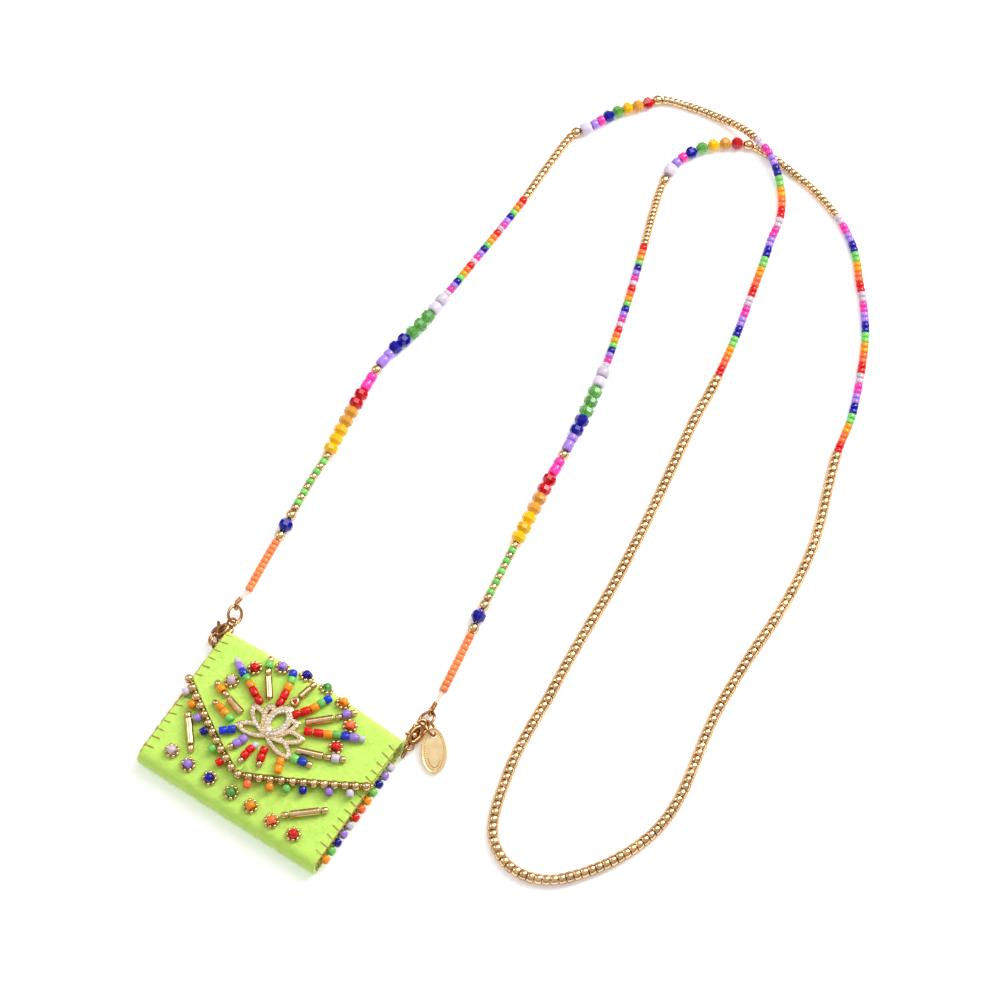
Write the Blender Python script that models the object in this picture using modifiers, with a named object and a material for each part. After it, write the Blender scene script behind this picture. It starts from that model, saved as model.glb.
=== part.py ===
"""Small beaded felt medicine bag on a long beaded neck strand.

Units are metres, +Z is up.  The bag lies on its back: X runs across its width,
+Y runs from its bottom fold to its top fold, and Z = 0 is the outside of its
back.  The bag is laid out from the middle of its bottom fold, and last of all
it is moved so that the origin is a point on the flat of its back.
"""
import bpy
import bmesh
from math import atan2, cos, hypot, pi, radians, sin
from mathutils import Matrix, Vector

for old in list(bpy.data.objects):
    bpy.data.objects.remove(old, do_unlink=True)

# Felt envelope
BACK_POINT_Y = 0.0220
POUCH_WIDTH = 0.0560
POUCH_HEIGHT = 0.0425
FELT = 0.0012
POCKET_GAP = 0.0044
PUFF = 0.0012
CROWN = 0.0007
BOTTOM_FOLD_DEPTH = 0.0026
TOP_FOLD_DEPTH = 0.0027
MOUTH_SETBACK = 0.0052
FLAP_GAP = 0.0003
FLAP_LIFT = 0.0006
FLAP_SIDE_LEFT = 0.0258
FLAP_SIDE_RIGHT = 0.0274
FLAP_TIP = 0.0108
FLAP_TIP_X = -0.0026
FLAP_CURVE = 1.15

# Beads and clearances
SEAT = 0.0003
THREAD_R = 0.00032
SEED_R = 0.00104
SEED_LENGTH = 0.0021
SMALL_R = 0.00084
SMALL_LENGTH = 0.0015
BUGLE_R = 0.00088
PETAL_BEAD_R = 0.00055
PETAL_RING_R = 0.00140
CENTRE_BEAD_R = 0.00128
TRIM_R = 0.00090
TRIM_PITCH = 0.00172
PENDANT_R = 0.00108
EDGING_R = 0.00118
EDGING_PITCH = 0.00275
EDGING_COUNT = 12
EDGING_START = 0.0046
EDGING_TUCK_LEFT = 0.0009

# Lotus charm
LOTUS_X = -0.0018
LOTUS_Y = 0.0232
LOTUS_BAND = 0.00105
LOTUS_THICK = 0.0012
LOTUS_STEP = 0.00007

# Hardware
CORNER_RING_R = 0.0019
CORNER_RING_WIRE = 0.00034
END_RING_R = 0.0023
END_RING_WIRE = 0.00040
TAG_RING_R = 0.0021
TAG_RING_WIRE = 0.00036
TAG_LENGTH = 0.0122
TAG_WIDTH = 0.0070
TAG_THICK = 0.0007
TAG_HOLE_R = 0.00085
TAG_HOLE_INSET = 0.0019
CLASP_BASE_R = 0.00122
CLASP_BASE_WIRE = 0.00034
CLASP_HOOK_REACH = 0.0079
CLASP_THICK = 0.0018
CLASP_SLOT = 0.0009
CLASP_PIN_R = 0.00024
CLASP_PIN_CLEARANCE = 0.00012
LEVER_THICK = 0.00066
EYE_R = 0.00098
EYE_WIRE = 0.00030
COIL_R = 0.00052

# Neck strand
STRAND_SEED_D = 0.0021
STRAND_ROUND_D = 0.0036
STRAND_LOOP_D = 0.0030
STRAND_GAP = 0.0003

HALF_WIDTH = POUCH_WIDTH / 2
BACK_MID = FELT / 2
FRONT_MID = FELT + POCKET_GAP + FELT / 2
FLAP_MID = FRONT_MID + FELT + FLAP_GAP

parts = bpy.data.collections.new("beaded_medicine_bag")
cutters = bpy.data.collections.new("cutters")
bpy.context.scene.collection.children.link(parts)
bpy.context.scene.collection.children.link(cutters)


def linear(channel):
    value = channel / 255
    return value / 12.92 if value <= 0.04045 else ((value + 0.055) / 1.055) ** 2.4


def material(name, hex_colour, roughness, metallic=0.0):
    mat = bpy.data.materials.get(name)
    if mat is None:
        mat = bpy.data.materials.new(name)
        mat.use_nodes = True
        shader = mat.node_tree.nodes["Principled BSDF"]
        channels = [linear(int(hex_colour[i:i + 2], 16)) for i in (0, 2, 4)]
        shader.inputs["Base Color"].default_value = (*channels, 1.0)
        shader.inputs["Roughness"].default_value = roughness
        shader.inputs["Metallic"].default_value = metallic
    return mat


FELT_GREEN = material("felt_green", "B8F24E", 0.95)
GOLD = material("gold_plate", "C99655", 0.28, 1.0)
PAVE = material("pave_setting", "E6DCC4", 0.25, 0.8)
RED = material("bead_red", "E01818", 0.25)
ORANGE = material("bead_orange", "F59A14", 0.30)
NEON_ORANGE = material("bead_neon_orange", "FF8A5C", 0.35)
YELLOW = material("bead_yellow", "F4C224", 0.25)
GREEN = material("bead_green", "6FC66A", 0.20)
NAVY = material("bead_navy", "1E1AA0", 0.20)
PURPLE = material("bead_purple", "9A6AC8", 0.25)
CLEAR = material("bead_clear", "EFE6EC", 0.15)


def finish(obj, name, mat, collection=parts):
    obj.name = name
    obj.data.name = name
    obj.data.materials.clear()
    obj.data.materials.append(mat)
    for owner in list(obj.users_collection):
        owner.objects.unlink(obj)
    collection.objects.link(obj)
    if collection is cutters:
        obj.hide_render = True
        obj.display_type = "WIRE"
    return obj


def tube(name, points, radii, mat, collection=parts, cyclic=False, resolution=2):
    """A POLY curve with a round bevel, its radius set at each point."""
    curve = bpy.data.curves.new(name, "CURVE")
    curve.dimensions = "3D"
    curve.bevel_depth = 1.0
    curve.bevel_resolution = resolution
    curve.use_fill_caps = not cyclic
    spline = curve.splines.new("POLY")
    spline.points.add(len(points) - 1)
    for slot, point, radius in zip(spline.points, points, radii):
        slot.co = (*point, 1.0)
        slot.radius = radius
    spline.use_cyclic_u = cyclic
    obj = bpy.data.objects.new(name, curve)
    parts.objects.link(obj)
    return finish(obj, name, mat, collection)


def as_mesh(obj, name, mat, collection=parts):
    """Turn an object's evaluated shape into a welded mesh object."""
    bpy.context.view_layer.update()
    graph = bpy.context.evaluated_depsgraph_get()
    mesh = bpy.data.meshes.new_from_object(obj.evaluated_get(graph))
    shell = bmesh.new()
    shell.from_mesh(mesh)
    bmesh.ops.remove_doubles(shell, verts=shell.verts, dist=0.000002)
    bmesh.ops.recalc_face_normals(shell, faces=shell.faces)
    shell.to_mesh(mesh)
    shell.free()
    mesh.shade_smooth()
    mesh.set_sharp_from_angle(angle=radians(40))
    place = obj.matrix_world.copy()
    bpy.data.objects.remove(obj, do_unlink=True)
    solid = bpy.data.objects.new(name, mesh)
    parts.objects.link(solid)
    solid.matrix_world = place
    return finish(solid, name, mat, collection)


def combine(base, others, operation="UNION"):
    """Boolean each of the other solids into or out of the base."""
    for count, other in enumerate(others):
        step = base.modifiers.new(f"{operation.lower()}_{count}", "BOOLEAN")
        step.operation = operation
        step.solver = "EXACT"
        step.object = other
    return base


def baked(base, others, name, mat, operation="UNION"):
    """Apply the Booleans, drop the operands and return one mesh object."""
    combine(base, others, operation)
    solid = as_mesh(base, name, mat)
    for other in others:
        bpy.data.objects.remove(other, do_unlink=True)
    return solid


def cylinder(name, radius, depth, place, mat, sides=12, collection=parts):
    shell = bmesh.new()
    bmesh.ops.create_cone(shell, cap_ends=True, segments=sides, radius1=radius, radius2=radius, depth=depth)
    mesh = bpy.data.meshes.new(name)
    shell.to_mesh(mesh)
    shell.free()
    mesh.shade_smooth()
    mesh.set_sharp_from_angle(angle=radians(40))
    obj = bpy.data.objects.new(name, mesh)
    parts.objects.link(obj)
    obj.matrix_world = place
    return finish(obj, name, mat, collection)


def ring_points(radius, count):
    return [Vector((radius * cos(2 * pi * k / count), radius * sin(2 * pi * k / count), 0)) for k in range(count)]


# Felt envelope: one strip, from the pocket's mouth down the front, round the
# bottom fold, up the back, round the top fold and down the flap.
def side_fall(x):
    return max(0.0, 1 - (x / HALF_WIDTH) ** 2)


def puff(x, y):
    rise = min(1.0, max(0.0, y / (0.35 * POUCH_HEIGHT)))
    return PUFF * side_fall(x) * sin(0.5 * pi * rise)


def flap_reach(x):
    """How far along the flap edge a point across the flap lies, 0 at its tip."""
    half = HALF_WIDTH - FLAP_TIP_X if x > FLAP_TIP_X else HALF_WIDTH + FLAP_TIP_X
    return min(1.0, abs(x - FLAP_TIP_X) / half)


def flap_edge(x):
    side = FLAP_SIDE_RIGHT if x > FLAP_TIP_X else FLAP_SIDE_LEFT
    return FLAP_TIP + (side - FLAP_TIP) * flap_reach(x) ** FLAP_CURVE


def flap_mid(x, y):
    """Height of the middle of the flap's felt."""
    lift = FLAP_LIFT * min(1.0, max(0.0, (POUCH_HEIGHT - y) / (POUCH_HEIGHT - FLAP_TIP)))
    flat_end = POUCH_HEIGHT + CROWN * side_fall(x) - FELT / 2 - TOP_FOLD_DEPTH
    top = FLAP_MID + puff(x, y)
    if y <= flat_end:
        return top + lift
    middle = (top + BACK_MID) / 2
    out = min(1.0, (y - flat_end) / TOP_FOLD_DEPTH)
    return middle + (top - middle) * (1 - out ** 2.6) ** (1 / 2.6) + lift


def flap_top(x, y):
    return flap_mid(x, min(y, POUCH_HEIGHT - SEAT)) + FELT / 2


def front_top(x, y):
    return FRONT_MID + puff(x, y) + FELT / 2


def fold(depth, low, high, steps):
    """Half of a squarish loop, from its upper leg round to its lower leg."""
    loop = []
    for step in range(1, steps):
        angle = pi / 2 - pi * step / steps
        out = depth * abs(cos(angle)) ** (2 / 2.6)
        up = abs(sin(angle)) ** (2 / 2.6) * (1 if angle > 0 else -1)
        loop.append((out, (high + low) / 2 + up * (high - low) / 2))
    return loop


def strip_row(u):
    """The strip's middle line at one place across, u from -1 to 1."""
    x = u * HALF_WIDTH
    bottom = FELT / 2 + BOTTOM_FOLD_DEPTH
    top = POUCH_HEIGHT + CROWN * side_fall(x) - FELT / 2 - TOP_FOLD_DEPTH
    mouth = POUCH_HEIGHT - MOUTH_SETBACK
    flap_side = FLAP_SIDE_LEFT + (FLAP_SIDE_RIGHT - FLAP_SIDE_LEFT) * (u + 1) / 2
    line = []
    for step in range(6):
        y = mouth + (bottom - mouth) * step / 5
        line.append((x, y, FRONT_MID + puff(x, y)))
    front = FRONT_MID + puff(x, bottom)
    for out, z in fold(BOTTOM_FOLD_DEPTH, BACK_MID, front, 7):
        line.append((x, bottom - out, z))
    line.append((x, bottom, BACK_MID))
    line.append((x, bottom + 0.3 * (top - bottom), BACK_MID))
    line.append((x, bottom + 0.7 * (top - bottom), BACK_MID))
    line.append((x, top, BACK_MID))
    high = flap_mid(x, top)
    for out, z in reversed(fold(TOP_FOLD_DEPTH, BACK_MID, high, 8)):
        line.append((x, top + out, z))
    for step in range(5):
        y = top + (flap_side - top) * step / 4
        line.append((x, y, flap_mid(x, y)))
    for step in range(1, 9):
        reach = 1 - 0.93 * (step / 8) ** 0.85
        y = FLAP_TIP + (flap_side - FLAP_TIP) * reach ** FLAP_CURVE
        half = HALF_WIDTH + FLAP_TIP_X if u < 0 else HALF_WIDTH - FLAP_TIP_X
        edge_x = FLAP_TIP_X + reach * half * (1 if u > 0 else -1)
        middle = FLAP_TIP_X * (1 - reach)
        side = middle + abs(u) * (edge_x - middle)
        line.append((side, y, flap_mid(side, y)))
    return line


ACROSS = 6
rows = [strip_row(-1 + 2 * k / ACROSS) for k in range(ACROSS + 1)]
sheet = bmesh.new()
grid = [[sheet.verts.new(point) for point in row] for row in rows]
for left, right in zip(grid, grid[1:]):
    for k in range(len(left) - 1):
        sheet.faces.new((left[k], left[k + 1], right[k + 1], right[k]))
felt_mesh = bpy.data.meshes.new("felt_pouch")
sheet.to_mesh(felt_mesh)
sheet.free()
felt_mesh.shade_smooth()
felt = bpy.data.objects.new("felt_pouch", felt_mesh)
parts.objects.link(felt)
finish(felt, "felt_pouch", FELT_GREEN)
shell_step = felt.modifiers.new("felt_thickness", "SOLIDIFY")
shell_step.thickness = FELT
shell_step.offset = 0.0
shell_step.use_even_offset = True


# Beads threaded one after another: kinds are seed, small gold, bugle and drop.
RADIUS = {"s": SEED_R, "g": SMALL_R, "d": CENTRE_BEAD_R, "w": SMALL_R, "t": THREAD_R}
LENGTH = {"s": SEED_LENGTH, "g": SMALL_LENGTH, "d": SEED_LENGTH, "w": SMALL_LENGTH}


def bead_string(name, stations, mat, seat=flap_top, collection=parts):
    """Stations are (x, y, kind) in mm; a bugle is two 'b' stations, its ends."""
    centres = []
    for x, y, kind in stations:
        radius = BUGLE_R if kind == "b" else RADIUS[kind]
        px = x * 0.001
        py = y * 0.001
        centres.append((Vector((px, py, seat(px, py) + SEAT + radius)), kind, radius))
    points = []
    radii = []
    last = len(centres) - 1
    bugle_open = False
    for k, (centre, kind, radius) in enumerate(centres):
        before = centres[max(0, k - 1)][0]
        after = centres[min(last, k + 1)][0]
        along = (after - before).normalized()
        if kind == "b":
            inward = SEAT if not bugle_open else -SEAT
            points.append(centre)
            radii.append(0.8 * radius)
            points.insert(len(points) - (0 if not bugle_open else 1), centre + along * inward)
            radii.insert(len(radii) - (0 if not bugle_open else 1), radius)
            bugle_open = not bugle_open
            continue
        if kind == "t":
            points.append(centre + Vector((0, 0, 0.0005)))
            radii.append(radius)
            continue
        near = [(other - centre).length for other in (before, after) if other is not centre]
        half = LENGTH[kind] / 2
        if near:
            half = min(half, 0.47 * min(near))
        for place, share in ((-1, 0.62), (0, 1), (1, 0.62)):
            points.append(centre + along * half * place)
            radii.append(radius * share)
    return tube(name, points, radii, mat, collection, resolution=1)


RAYS = {
    "ray_01_gold_bugle": (GOLD, [(-10.9, 24.1, "b"), (-16.1, 25.6, "b"), (-17.6, 26.3, "g"), (-19.4, 26.8, "s"), (-21.0, 27.6, "g")]),
    "ray_02_green_orange": (ORANGE, [(-12.6, 21.1, "s"), (-14.6, 21.8, "s"), (-16.6, 22.4, "s"), (-18.3, 22.7, "g")]),
    "ray_03_blue": (NAVY, [(-10.3, 18.9, "b"), (-12.2, 17.3, "b")]),
    "ray_04_purple": (PURPLE, [(-6.2, 18.3, "s"), (-7.0, 16.5, "s"), (-7.9, 14.8, "g")]),
    "ray_05_red": (RED, [(-2.7, 18.6, "w"), (-3.1, 16.9, "s"), (-3.3, 14.9, "s"), (-3.4, 13.1, "g")]),
    "ray_06_red": (RED, [(0.1, 18.6, "s"), (0.6, 16.6, "s"), (1.2, 14.8, "g")]),
    "ray_07_orange": (ORANGE, [(5.3, 18.6, "b"), (6.2, 16.2, "b")]),
    "ray_08_green_blue": (NAVY, [(8.0, 21.2, "s"), (10.1, 21.6, "s"), (12.1, 22.1, "g")]),
    "ray_09_gold_bugle": (GOLD, [(7.0, 23.4, "b"), (13.7, 26.0, "b"), (14.9, 26.5, "g"), (16.8, 27.3, "s"), (18.5, 28.2, "g")]),
    "ray_10_red_blue": (RED, [(6.8, 29.5, "b"), (10.2, 31.0, "b"), (11.5, 31.7, "s"), (13.4, 32.9, "s"),
                              (15.4, 33.7, "s"), (17.5, 34.7, "s"), (19.5, 35.7, "s")]),
    "ray_11_gold_bugle": (GOLD, [(4.6, 31.1, "b"), (10.0, 36.2, "b"), (11.1, 37.4, "g"), (12.15, 38.95, "s"), (13.6, 40.5, "g")]),
    "ray_12_red_blue": (RED, [(1.5, 31.9, "b"), (3.6, 34.6, "b"), (4.3, 36.0, "s"), (5.0, 37.9, "s"),
                              (5.9, 39.7, "s")]),
    "ray_13_gold_bugle": (GOLD, [(-0.9, 34.6, "d"), (-0.6, 36.2, "b"), (0.2, 39.8, "b"), (0.35, 41.0, "g")]),
    "ray_14_red_blue": (RED, [(-4.1, 32.2, "b"), (-4.4, 35.3, "b"), (-4.8, 36.9, "s"), (-5.1, 38.8, "s"), (-5.9, 40.6, "s")]),
    "ray_15_gold_bugle": (GOLD, [(-7.1, 31.5, "b"), (-10.9, 36.4, "b"), (-11.8, 37.7, "g"), (-12.6, 39.2, "s"), (-13.2, 40.8, "g")]),
    "ray_16_red_blue": (RED, [(-9.2, 29.5, "b"), (-12.4, 31.1, "b"), (-13.8, 32.0, "s"), (-15.4, 32.9, "s"),
                              (-17.1, 33.7, "s"), (-18.8, 34.7, "s"), (-20.4, 35.7, "s")]),
}
for ray_name, (ray_mat, ray_stations) in RAYS.items():
    bead_string(ray_name, ray_stations, ray_mat)


# Flower: eight small gold beads threaded in a ring round a larger bead.
def flower_mesh():
    loop = []
    radii = []
    for k in range(16):
        turn = 2 * pi * k / 16
        loop.append(Vector((PETAL_RING_R * cos(turn), PETAL_RING_R * sin(turn), PETAL_BEAD_R)))
        radii.append(PETAL_BEAD_R if k % 2 == 0 else 0.55 * PETAL_BEAD_R)
    ring = tube("flower_ring", loop, radii, GOLD, cyclic=True, resolution=0)
    ring = as_mesh(ring, "flower_ring", GOLD)
    heights = (0.10, 0.55, 1.0, 1.6, 1.95)
    rounds = [sin(pi * h / 2) ** 0.6 if h < 1 else max(0.42, sin(pi * h / 2) ** 0.6) for h in heights]
    line = [Vector((0, 0, CENTRE_BEAD_R * h)) for h in heights]
    centre = tube("flower_centre", line[1:], [CENTRE_BEAD_R * r for r in rounds[1:]], GOLD, resolution=1)
    flower = baked(ring, [as_mesh(centre, "flower_centre", GOLD)], "flower", GOLD)
    shared = flower.data
    bpy.data.objects.remove(flower, do_unlink=True)
    return shared


FLOWER = flower_mesh()


def place_flower(name, x, y, mat, seat):
    """Set a flower on the felt, tilted with the surface under it."""
    px = x * 0.001
    py = y * 0.001
    step = 0.001
    slope_x = (seat(px + step, py) - seat(px - step, py)) / (2 * step)
    slope_y = (seat(px, py + step) - seat(px, py - step)) / (2 * step)
    normal = Vector((-slope_x, -slope_y, 1)).normalized()
    mesh = FLOWER.copy()
    obj = bpy.data.objects.new(name, mesh)
    parts.objects.link(obj)
    turn = normal.to_track_quat("Z", "Y").to_matrix().to_4x4()
    base = Vector((px, py, seat(px, py))) + normal * SEAT
    obj.matrix_world = Matrix.Translation(base) @ turn
    return finish(obj, name, mat)


ARC_FLOWERS = [(-18.4, 30.2, CLEAR), (-15.4, 36.6, RED), (-9.4, 40.5, PURPLE), (-2.9, 42.0, NAVY),
               (3.5, 41.9, GREEN), (9.6, 40.9, ORANGE), (14.7, 36.9, NEON_ORANGE), (15.0, 30.0, RED)]
for count, (fx, fy, fmat) in enumerate(ARC_FLOWERS, 1):
    place_flower(f"arc_flower_{count}", fx, fy, fmat, flap_top)

FRONT_FLOWERS = [(-20.8, 6.3, CLEAR), (-15.1, 5.4, PURPLE), (-8.2, 5.4, NAVY), (-1.2, 5.3, GREEN),
                 (5.2, 5.0, ORANGE), (12.0, 4.7, NEON_ORANGE), (18.8, 4.8, RED)]
front_flowers = [place_flower(f"front_flower_{count}", fx, fy, fmat, front_top)
                 for count, (fx, fy, fmat) in enumerate(FRONT_FLOWERS, 1)]

# Two slanting bugles on the front, each threaded on from the flower beside it.
SLANTS = [(1, [(-23.1, 16.7, "g"), (-22.3, 15.8, "b"), (-17.6, 10.2, "b"), (-16.8, 9.1, "g"), (-15.3, 6.0, "t")]),
          (5, [(12.3, 5.2, "t"), (14.0, 7.6, "g"), (15.1, 8.5, "b"), (21.0, 13.6, "b"), (22.1, 14.6, "g")])]
for index, stations in SLANTS:
    flower = front_flowers[index]
    label = flower.name
    slant_mat = flower.data.materials[0]
    slant = as_mesh(bead_string("slant", stations, GOLD, front_top), "slant", GOLD)
    baked(flower, [slant], label, slant_mat)


# Gold beads along the flap's edge, with coloured beads hanging off them.
def trim_line():
    """Points just outside the flap's edge, one bead pitch apart."""
    fine = []
    for k in range(241):
        x = -HALF_WIDTH + POUCH_WIDTH * k / 240
        fine.append(Vector((x, flap_edge(x), 0)))
    outer = []
    for k, point in enumerate(fine):
        along = fine[min(240, k + 4)] - fine[max(0, k - 4)]
        out = Vector((along.y, -along.x, 0)).normalized()
        outer.append(point + out * (TRIM_R + SEAT))
    spots = [outer[0]]
    for point in outer:
        if (point - spots[-1]).length >= TRIM_PITCH:
            spots.append(point)
    return spots


def on_front(point, radius):
    """Seat height for a bead beside the flap, clear of the front under it."""
    mid = flap_mid(point.x, point.y)
    return max(mid, front_top(point.x, point.y) + SEAT + radius)


trim_spots = trim_line()
trim_points = []
trim_radii = []
for k, spot in enumerate(trim_spots):
    along = (trim_spots[min(len(trim_spots) - 1, k + 1)] - trim_spots[max(0, k - 1)]).normalized()
    height = on_front(spot, PENDANT_R)
    for share, size in ((-0.42, 0.66), (0, 1.0), (0.42, 0.66)):
        spot_point = spot + along * TRIM_PITCH * share
        trim_points.append(Vector((spot_point.x, spot_point.y, height)))
        trim_radii.append(TRIM_R * size)
trim = as_mesh(tube("flap_edge_beads", trim_points, trim_radii, GOLD, resolution=0), "flap_edge_beads", GOLD)
PENDANT_X = (-26.6, -23.3, -19.4, -15.4, -11.3, -7.2, 0.1, 5.8, 9.9, 13.9, 19.7, 24.3)
pendants = []
for k, target in enumerate(PENDANT_X):
    index = min(range(len(trim_spots)), key=lambda n: abs(trim_spots[n].x - 0.001 * target))
    spot = trim_spots[index]
    along = (trim_spots[min(len(trim_spots) - 1, index + 1)] - trim_spots[max(0, index - 1)]).normalized()
    out = Vector((along.y, -along.x, 0))
    height = on_front(spot, PENDANT_R)
    centre = spot + out * (TRIM_R + 0.85 * PENDANT_R)
    inner = Vector((spot.x, spot.y, height))
    outer = Vector((centre.x, centre.y, height))
    path = [outer + out * PENDANT_R * share for share in (-0.95, 0, 0.95)]
    sizes = [PENDANT_R * share for share in (0.62, 1, 0.62)]
    pendant = tube(f"pendant_{k}", [inner] + path, [THREAD_R] + sizes, GOLD, resolution=0)
    pendants.append(as_mesh(pendant, f"pendant_{k}", GOLD))
trim = baked(trim, pendants, "flap_edge_beads", GOLD)


# Bead edging sewn under the front's side edges.
def edging(name, side, tuck):
    x = side * (HALF_WIDTH + SEAT + 0.45 * EDGING_R - tuck)
    z = FELT + POCKET_GAP - SEAT - EDGING_R
    points = []
    radii = []
    for k in range(EDGING_COUNT):
        y = EDGING_START + EDGING_PITCH * k
        for share, size in ((-0.40, 0.62), (0, 1.0), (0.40, 0.62)):
            points.append(Vector((x, y + EDGING_PITCH * share, z)))
            radii.append(EDGING_R * size)
    return tube(name, points, radii, CLEAR, resolution=0)


edging("side_edging_left", -1, EDGING_TUCK_LEFT)
edging("side_edging_right", 1, 0.0)


# Lotus charm: stone-set bands, each an open almond, spread from one foot.
LOTUS_ORDER = ["petal_0", "petal_1", "petal_2", "petal_3", "petal_4", "petal_5", "petal_6"]


def almond(length, width, inset):
    """Points of an almond outline set in from a petal's outer edge."""
    long_half = length / 2 - 1.5 * inset
    wide_half = width / 2 - inset
    outline = []
    for k in range(10):
        turn = 2 * pi * k / 10
        side = wide_half * sin(turn) * abs(sin(turn)) ** 0.25
        outline.append((side, length / 2 - long_half * cos(turn)))
    return outline


def petal(name, angle, length, width):
    """A flat band between two almond outlines, turned about the charm's foot."""
    curve = bpy.data.curves.new(name, "CURVE")
    curve.dimensions = "2D"
    curve.fill_mode = "BOTH"
    curve.extrude = (LOTUS_THICK - LOTUS_STEP * LOTUS_ORDER.index(name)) / 2
    for outline in (almond(length, width, 0), almond(length, width, LOTUS_BAND)):
        spline = curve.splines.new("POLY")
        spline.points.add(len(outline) - 1)
        for slot, (x, y) in zip(spline.points, outline):
            slot.co = (x, y, 0, 1)
        spline.use_cyclic_u = True
    obj = bpy.data.objects.new(name, curve)
    parts.objects.link(obj)
    obj.matrix_world = Matrix.Rotation(-radians(angle), 4, "Z") @ Matrix.Translation((0, -0.0011, 0))
    return as_mesh(obj, name, PAVE)


LOTUS_PETALS = [(0, 0.0104, 0.0066), (-31, 0.0094, 0.0044), (31, 0.0094, 0.0044), (-63, 0.0103, 0.0046),
                (63, 0.0103, 0.0046), (-104, 0.0100, 0.0042), (104, 0.0100, 0.0042)]
petals = [petal(f"petal_{k}", *size) for k, size in enumerate(LOTUS_PETALS)]
foot = cylinder("lotus_foot", 0.0011, LOTUS_THICK + 2 * LOTUS_STEP, Matrix.Identity(4), PAVE, 9)
lotus = baked(foot, petals, "lotus_charm", PAVE)
lotus_seat = max(flap_top(LOTUS_X + dx, LOTUS_Y + dy) for dx in (0, -0.004, 0.004) for dy in (0, 0.004, 0.008))
lotus.location = (LOTUS_X, LOTUS_Y, lotus_seat + SEAT + LOTUS_THICK / 2)


# Rings
def ring(name, radius, wire, centre, normal, mat=GOLD, count=15, collection=parts):
    hoop = tube(name, ring_points(radius, count), [wire] * count, mat, collection, cyclic=True, resolution=1)
    turn = Vector(normal).normalized().to_track_quat("Z", "Y").to_matrix().to_4x4()
    hoop.matrix_world = Matrix.Translation(Vector(centre)) @ turn
    return hoop


# Lobster clasp: in its own frame the base loop is at the origin and the hook
# reaches along +X, with the lever on the +Y side.
LEVER_PIVOT = Vector((0.0030, 0.0006, 0))
LEVER_EYE_R = 0.00066


def clasp_body(name, place):
    hook = CLASP_HOOK_REACH
    path = [(0.0012, 0, 0), (0.0022, -0.0002, 0), (0.0034, -0.0006, 0), (0.0048, -0.0013, 0), (0.0062, -0.0016, 0),
            (hook - 0.0005, -0.00115, 0), (hook, -0.00015, 0), (hook - 0.0003, 0.00095, 0), (hook - 0.0014, 0.0016, 0)]
    widths = [0.00050, 0.00075, 0.00085, 0.00060, 0.00050, 0.00044, 0.00042, 0.00040, 0.00036]
    body = as_mesh(tube(name, [Vector(p) for p in path], widths, GOLD, resolution=1), name, GOLD)
    base = as_mesh(tube("clasp_base", ring_points(CLASP_BASE_R, 11), [CLASP_BASE_WIRE] * 11, GOLD, cyclic=True, resolution=1), "clasp_base", GOLD)
    flat = Matrix.Diagonal((1.55, 1.15, 1, 1))
    cheeks = cylinder("clasp_cheeks", 0.00125, CLASP_THICK, Matrix.Translation((0.0032, 0.0001, 0)) @ flat, GOLD, 14)
    body = baked(body, [base, as_mesh(cheeks, "clasp_cheeks", GOLD)], name, GOLD)
    slot_size = Vector((0.0036, 0.0034, CLASP_SLOT))
    bpy.ops.mesh.primitive_cube_add(size=1)
    slot = bpy.context.active_object
    slot.matrix_world = Matrix.Translation((0.0037, 0.0013, 0)) @ Matrix.Diagonal((*slot_size, 1))
    finish(slot, "clasp_slot", GOLD)
    body = baked(body, [slot], name, GOLD, "DIFFERENCE")
    pin = cylinder("clasp_pin", CLASP_PIN_R, 0.96 * CLASP_THICK, Matrix.Translation(LEVER_PIVOT), GOLD, 10)
    body = baked(body, [pin], name, GOLD)
    body.matrix_world = place
    return body


def clasp_lever(name, place):
    hook = CLASP_HOOK_REACH
    eye = cylinder(name, LEVER_EYE_R, LEVER_THICK, Matrix.Translation(LEVER_PIVOT), GOLD, 14)
    eye = as_mesh(eye, name, GOLD)
    arm_path = [LEVER_PIVOT + Vector((0.0003, 0.0004, 0)), Vector((0.0044, 0.0015, 0)), Vector((hook - 0.00245, 0.0018, 0))]
    arm = as_mesh(tube("lever_arm", arm_path, [0.0003, 0.00036, 0.00032], GOLD), "lever_arm", GOLD)
    nub_path = [LEVER_PIVOT + Vector((-0.0001, 0.0004, 0)), Vector((0.0026, 0.0018, 0)), Vector((0.0022, 0.0026, 0))]
    nub = as_mesh(tube("lever_nub", nub_path, [0.0003, 0.00032, 0.00036], GOLD), "lever_nub", GOLD)
    lever = baked(eye, [arm, nub], name, GOLD)
    hole_r = CLASP_PIN_R + CLASP_PIN_CLEARANCE
    bore = cylinder("lever_bore", hole_r, 2 * CLASP_THICK, Matrix.Translation(LEVER_PIVOT), GOLD, 12)
    lever = baked(lever, [bore], name, GOLD, "DIFFERENCE")
    lever.matrix_world = place @ Matrix.Translation(LEVER_PIVOT)
    return lever


def clasp_place(base, hook_towards, lever_side, roll):
    """Matrix for a clasp: base loop point, hook point, the lever's side and its rise."""
    along = Vector((hook_towards[0] - base[0], hook_towards[1] - base[1], 0)).normalized()
    across = Vector((-along.y, along.x, 0)) * lever_side * cos(roll) + Vector((0, 0, sin(roll)))
    up = along.cross(across)
    turn = Matrix((along, across, up)).transposed().to_4x4()
    return Matrix.Translation(Vector(base)) @ turn


RIGHT_CLASP = clasp_place((0.0289, 0.0433, 0.00207), (0.0286, 0.0520, 0.00207), 1, 0.459)
LEFT_CLASP = clasp_place((-0.0302, 0.0462, 0.00209), (-0.0316, 0.0370, 0.00209), -1, -0.265)
clasp_body("clasp_body_right", RIGHT_CLASP)
clasp_lever("clasp_lever_right", RIGHT_CLASP)
clasp_body("clasp_body_left", LEFT_CLASP)
clasp_lever("clasp_lever_left", LEFT_CLASP)

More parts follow.
